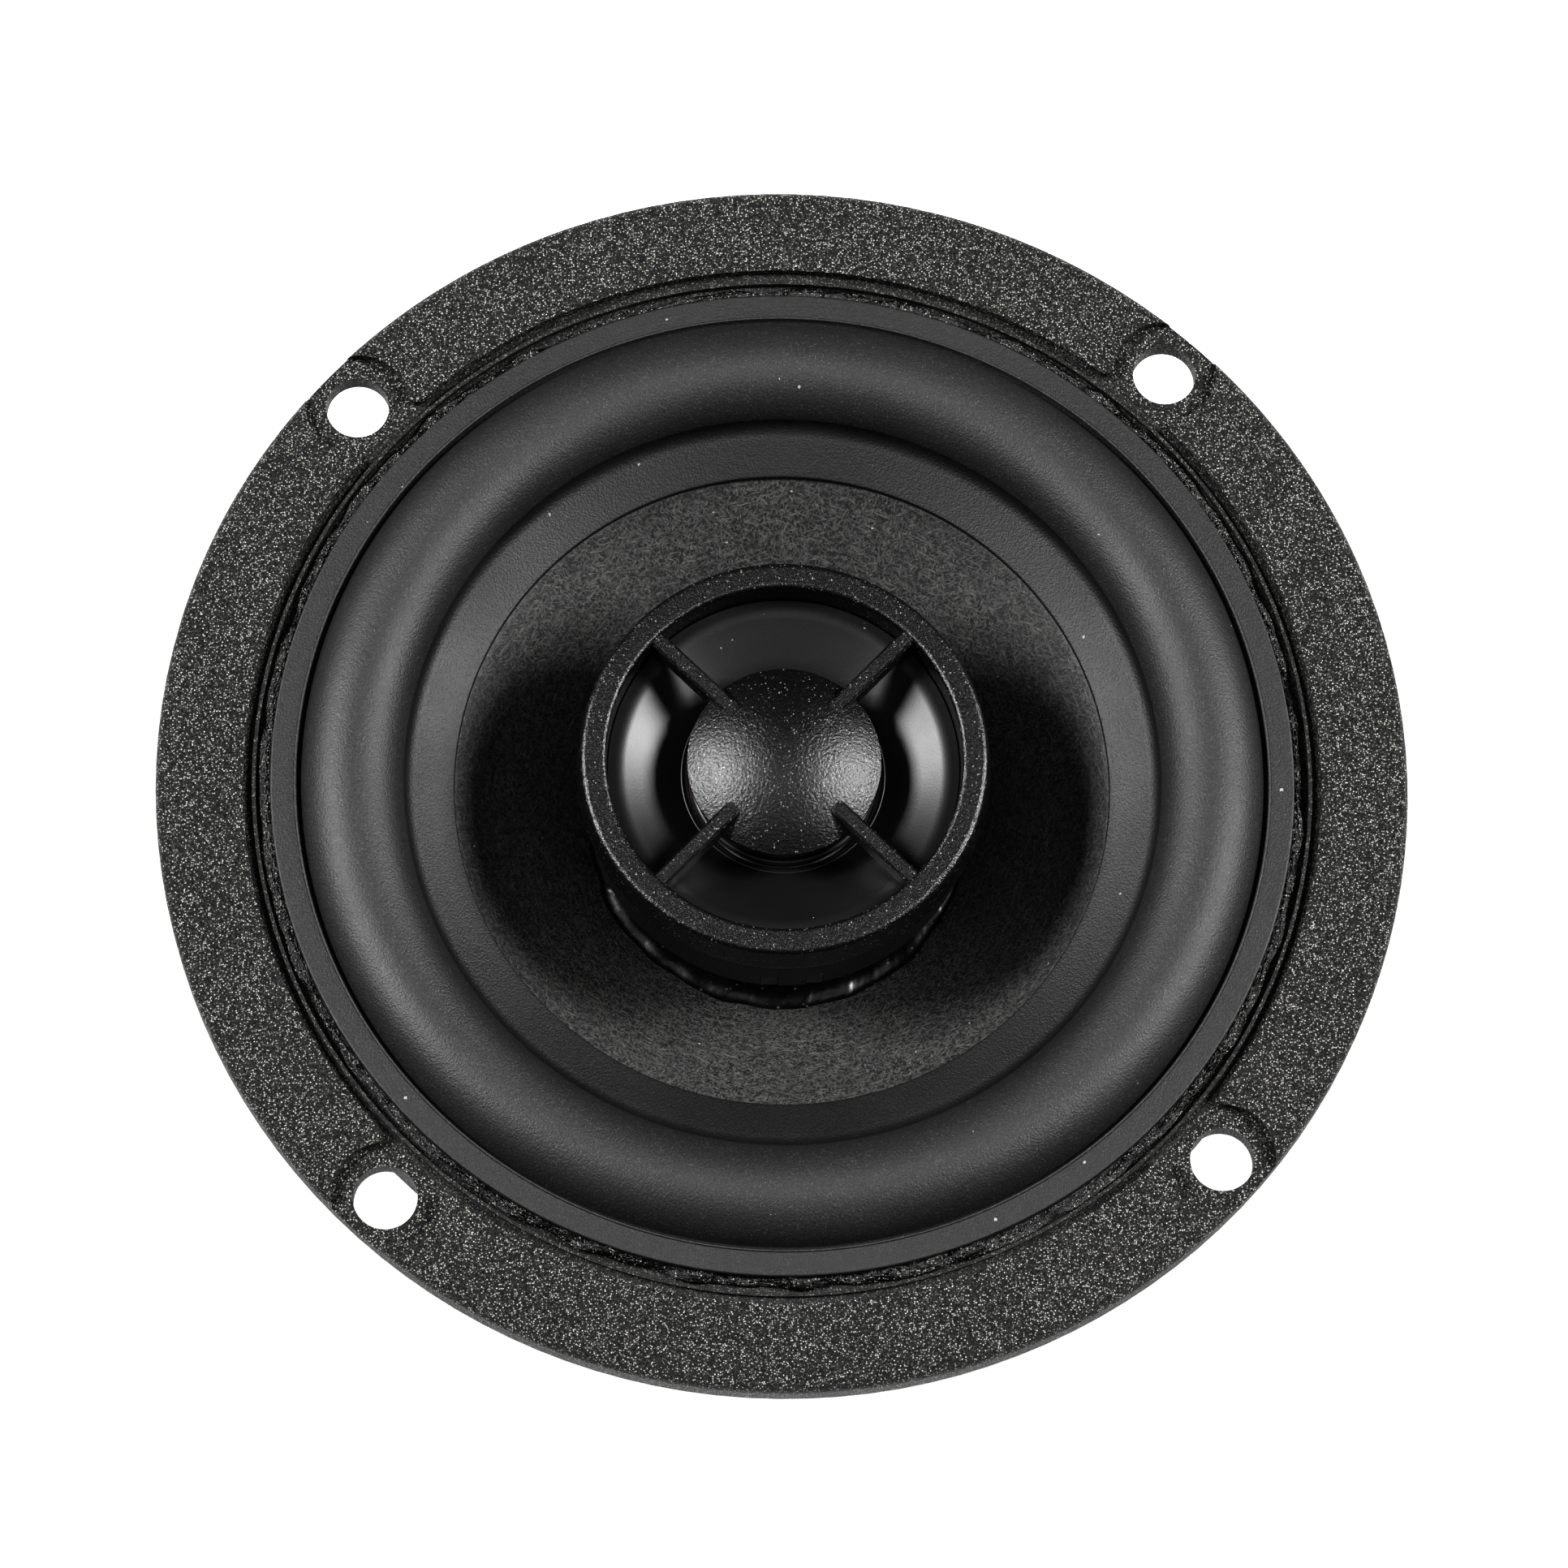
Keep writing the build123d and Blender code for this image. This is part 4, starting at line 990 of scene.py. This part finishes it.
def neck_bead():
    """Crown over the cone's front: r from the former to a wandering foot, higher at the former."""
    angle = angles_round(720)
    t = np.linspace(0, 1, 22)[None, :]
    foot = BEAD_MEAN_R + 0.22 * round_noise(angle, 3, [4, 7, 11, 17, 29])
    r = FORMER_R + (foot - FORMER_R) * t
    crown = 1.8 * (1 - t) ** 0.8 + 0.45 * np.sin(math.pi * t) ** 0.8
    swell = 0.16 * round_noise(angle, 8, [5, 9, 14, 22]) * np.sin(math.pi * t)
    lumps = np.clip(round_noise(angle + 0.1 * t, 5, [47, 61, 83]), 0, 1)
    lift = (crown + swell + 0.09 * lumps * np.sin(math.pi * t ** 3)) * (1 - t ** 4) + SINK
    top = polar_points(r, angle, cone_front_z(r) + lift)
    under = polar_points(r, angle, cone_front_z(r) - SINK)
    return np.concatenate([top, under[:, ::-1]], 1)


closed_piece("neck_bead", neck_bead(), WET_ADHESIVE, "cone_assembly", "neck_adhesive", 60.0)

# %% [markdown]
# ## The spider
# Under the cone a corrugated cloth disc keeps the coil centred. It is a sine wave in the radius, with a flat
# rim glued to the basket and a collar glued to the former, so like the rubber edge it sits between the still
# basket and the moving cone; here it is only built and placed.

# %% The spider
SPIDER_LOW, SPIDER_HIGH = node_box("spider")
SPIDER_Z = (SPIDER_LOW[2] + SPIDER_HIGH[2]) / 2
SPIDER_T = 0.45
WAVE_IN = 14.6
WAVE_OUT = 24.2
WAVE_COUNT = 4
WAVE_H = 0.95


def spider_outline():
    """Line z = h sin(2 pi n s) for s from the collar to the rim, made a sheet."""
    s = np.linspace(0, 1, 20 * WAVE_COUNT)
    wave = np.stack([WAVE_IN + (WAVE_OUT - WAVE_IN) * s, WAVE_H * np.sin(2 * math.pi * WAVE_COUNT * s)], 1)
    collar = run((FORMER_R + GLUE_T, 0.0), (WAVE_IN, 0.0), 6)
    rim = run((WAVE_OUT, 0.0), (SPIDER_HIGH[0], 0.0), 8)
    return thick(joined(collar, wave, rim) + np.array([0.0, SPIDER_Z + SPIDER_T / 2]), SPIDER_T)


spider = turned_piece("cloth_spider", spider_outline(), SPIDER_CLOTH, crease=60.0)
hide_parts("spider")
share_by_radius(spider, WAVE_OUT, WAVE_IN, "cone_assembly")

# %% [markdown]
# ## The tweeter's horn, ring and silk dome
# Inside the trim ring a short horn flares from the dome, straight up to a bend and almost flat at its mouth.
# Under the cap a thin plated ring clamps the silk dome, whose own edge is a tiny roll.

# %% The horn
HORN_LOW, HORN_HIGH = node_box("tweeter_waveguide")
THROAT_R = 8.1
HORN_BEND_R = 12.7
MOUTH_R = 13.75


def horn_outline():
    """Straight flare from the throat's small lip to a bend, then an arc that levels out at the mouth."""
    low, high = HORN_LOW[2], HORN_HIGH[2]
    foot, turn, lip = steps_from((THROAT_R, low), (0.0, 0.02), (0.04, 0.14), (0.22, 0.16))
    bend, mouth = (HORN_BEND_R, high - 0.23), (MOUTH_R, high)
    crest = ((bend[0] + mouth[0]) / 2, high - 0.055)
    outer_top, outer_foot = (HORN_HIGH[0], high), (HORN_HIGH[0], low)
    return joined(
        bow(foot, turn, lip, 8), run(lip, bend, 24), bow(bend, crest, mouth, 10), run(mouth, outer_top, 3),
        run(outer_top, outer_foot, 3), run(outer_foot, (THROAT_R, low), 4), run((THROAT_R, low), foot))


turned_piece("horn", horn_outline(), HORN_PLASTIC, "chassis", "tweeter_waveguide", 300)

# %% The ring under the horn
RING_LOW, RING_HIGH = node_box("tweeter_dome_ring")
RING_LIP_R = THROAT_R - 0.35


def ring_outline():
    """A flat ring with a rounded inner lip that catches the light."""
    low, high = RING_LOW[2], RING_HIGH[2]
    lip_foot, lip, crown = (RING_LIP_R, low), (RING_LIP_R, high - 0.28), (THROAT_R - 0.2, high - 0.08)
    flat, outer_top, outer_foot = (THROAT_R, high - 0.02), (RING_HIGH[0], high - 0.02), (RING_HIGH[0], low)
    return joined(
        run((THROAT_R, low), lip_foot), run(lip_foot, lip), bow(lip, crown, flat, 8),
        run(flat, outer_top, 4), run(outer_top, outer_foot), run(outer_foot, (THROAT_R, low), 4))


turned_piece("dome_ring", ring_outline(), DARK_METAL, "chassis", "tweeter_dome_ring")

# %% The silk dome
DOME_LOW, DOME_HIGH = node_box("tweeter_dome")
DOME_SKIN = 0.2


def dome_outline():
    """A thin spherical cap: an arc up to the axis and back, a skin's thickness lower."""
    edge, top, low = DOME_HIGH[0], DOME_HIGH[2], DOME_LOW[2]
    outer = bow((edge, low), (0.0, top), (-edge, low), 65)[:33]
    inner = bow((edge - DOME_SKIN, low), (0.0, top - DOME_SKIN), (-edge + DOME_SKIN, low), 65)[:33]
    outer[-1, 0] = inner[-1, 0] = 0.0
    return np.concatenate([outer, inner[::-1]])


turned_piece("silk_dome", dome_outline(), DOME_SILK, "tweeter_diaphragm", "tweeter_dome", 192)

# %% The dome's edge
EDGE_LOW, EDGE_HIGH = node_box("tweeter_dome_surround")
EDGE_OUT_R = THROAT_R - 0.45


def dome_edge_outline():
    """A small half roll between the dome and its ring, made a thin sheet."""
    inner, foot = DOME_HIGH[0] + 0.1, EDGE_LOW[2] + 0.15
    return thick(bow((inner, foot), ((inner + EDGE_OUT_R) / 2, EDGE_HIGH[2]), (EDGE_OUT_R, foot), 16), 0.14)


dome_edge = turned_piece("silk_dome_edge", dome_edge_outline(), EDGE_SKIN, steps=192, crease=60.0)
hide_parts("tweeter_dome_surround")
share_by_radius(dome_edge, EDGE_OUT_R, DOME_HIGH[0], "tweeter_diaphragm")

# %% [markdown]
# ## The braided leads
# Two leads of braided copper carry the signal from the terminals to the moving cone. Each hangs in a loose
# bow. Its middle line is a smooth curve over the lead's own route, and three strands twist round that line.
# One end stays at the terminal and the other rides with the cone; here both braids are only built and placed.

# %% The braided leads
LEAD_ROUTE = [
    (10.5, -34.6, -19.3), (10.5, -34.6, -15.6), (10.3, -32.0, -13.6), (9.3, -26.2, -14.7),
    (8.0, -20.9, -12.9), (7.45, -18.75, -10.85),
]
STRANDS = 3
STRAND_R = 0.27
STRAND_LAY = 0.95 * STRAND_R
TWIST_PITCH = 2.4
LINE_POINTS = 90


def smooth_route(points, count):
    """Quadratic B-spline over the route's points, with its ends on the first and the last."""
    control = np.array(points, float)
    spans = len(control) - 2
    u = np.linspace(0, spans, count)
    i = np.minimum(u.astype(int), spans - 1)
    t = (u - i)[:, None]
    first = np.where((i == 0)[:, None], control[i], (control[i] + control[i + 1]) / 2)
    last = np.where((i == spans - 1)[:, None], control[i + 2], (control[i + 1] + control[i + 2]) / 2)
    return first * (1 - t) ** 2 + 2 * control[i + 1] * t * (1 - t) + last * t ** 2


def frame_along(line):
    """Two cross directions at each point, carried from a fixed side direction."""
    tangent = np.gradient(line, axis=0)
    tangent /= np.linalg.norm(tangent, axis=1)[:, None]
    side = np.cross(tangent, np.array([1.0, 0.0, 0.0]))
    side /= np.linalg.norm(side, axis=1)[:, None]
    return side, np.cross(tangent, side)


def strand_grid(line, phase, sides=8):
    """A round strand on a helix: line + lay (side cos h + up sin h), with h = phase + 2 pi length / pitch."""
    side, up = frame_along(line)
    length = np.concatenate([[0], np.cumsum(np.linalg.norm(np.diff(line, axis=0), axis=1))])
    turn = phase + 2 * math.pi * length / TWIST_PITCH
    helix = line + STRAND_LAY * (side * np.cos(turn)[:, None] + up * np.sin(turn)[:, None])
    side, up = frame_along(helix)
    around = np.linspace(0, 2 * math.pi, sides, endpoint=False)
    ring = side[:, None] * np.cos(around)[None, :, None] + up[:, None] * np.sin(around)[None, :, None]
    return helix[:, None] + STRAND_R * ring


def closed_tube(grid):
    """Points and faces of a tube with a fan at each end."""
    rows, columns = grid.shape[:2]
    points = np.concatenate([grid.reshape(-1, 3), grid[:1].mean(1), grid[-1:].mean(1)])
    first = np.arange(columns)
    last = (rows - 1) * columns + first
    start = np.stack([np.full(columns, rows * columns), np.roll(first, -1), first], 1)
    end = np.stack([np.full(columns, rows * columns + 1), last, np.roll(last, -1)], 1)
    body = grid_faces(rows, columns, False, True)
    return points, body + start.tolist() + end.tolist()


def merged(parts):
    """Several (points, faces) pairs as one."""
    points, faces, offset = [], [], 0
    for part_points, part_faces in parts:
        points.append(part_points)
        faces += [[i + offset for i in face] for face in part_faces]
        offset += len(part_points)
    return np.concatenate(points), faces


for name, side_sign in (("positive_braid", 1.0), ("negative_braid", -1.0)):
    line = smooth_route(np.array(LEAD_ROUTE) * (side_sign, 1, 1), LINE_POINTS)
    strands = [closed_tube(strand_grid(line, 2 * math.pi * k / STRANDS)) for k in range(STRANDS)]
    points, faces = merged(strands)
    braid = make_piece(name, points, faces, BRAID, crease=80.0)
    if side_sign > 0:
        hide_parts("tinsel_leads")
    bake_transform(braid)

# %% [markdown]
# ## Solder on the terminals
# Each braid is soldered to the head of its terminal's rivet. Molten solder pulls itself into a low dome with
# a wide foot, so the blob is a flattened bell, a little uneven round the circle.

# %% Solder on the terminals
RIVET_TOP_Z = node_box("terminal_rivets")[1][2]
SOLDER_R = 1.75
SOLDER_H = 1.25


def solder_blob(x, y, seed):
    """Bell z = h cos(pi t / 2) ^ 1.3 over the radius r = R t (1 + small noise), closed by a flat foot."""
    angle = angles_round(48)
    t = np.linspace(1e-3, 1, 14)[None, :]
    r = SOLDER_R * t * (1 + 0.09 * round_noise(angle, seed, [2, 3, 5]) * t)
    top = polar_points(r, angle, RIVET_TOP_Z + SOLDER_H * np.cos(math.pi * t / 2) ** 1.3)
    top += np.array([x, y, 0.0])
    foot = top[:, ::-1].copy()
    foot[..., 2] = RIVET_TOP_Z - 0.05
    grid = np.concatenate([top, foot], 1)
    return grid.reshape(-1, 3), grid_faces(*grid.shape[:2], True, True)


solder_x, solder_y = LEAD_ROUTE[0][:2]
points, faces = merged([solder_blob(side * solder_x, solder_y, 40 + side) for side in (-1, 1)])
solder = make_piece("terminal_solder", points, faces, BRIGHT_TIN, "chassis", crease=60.0)
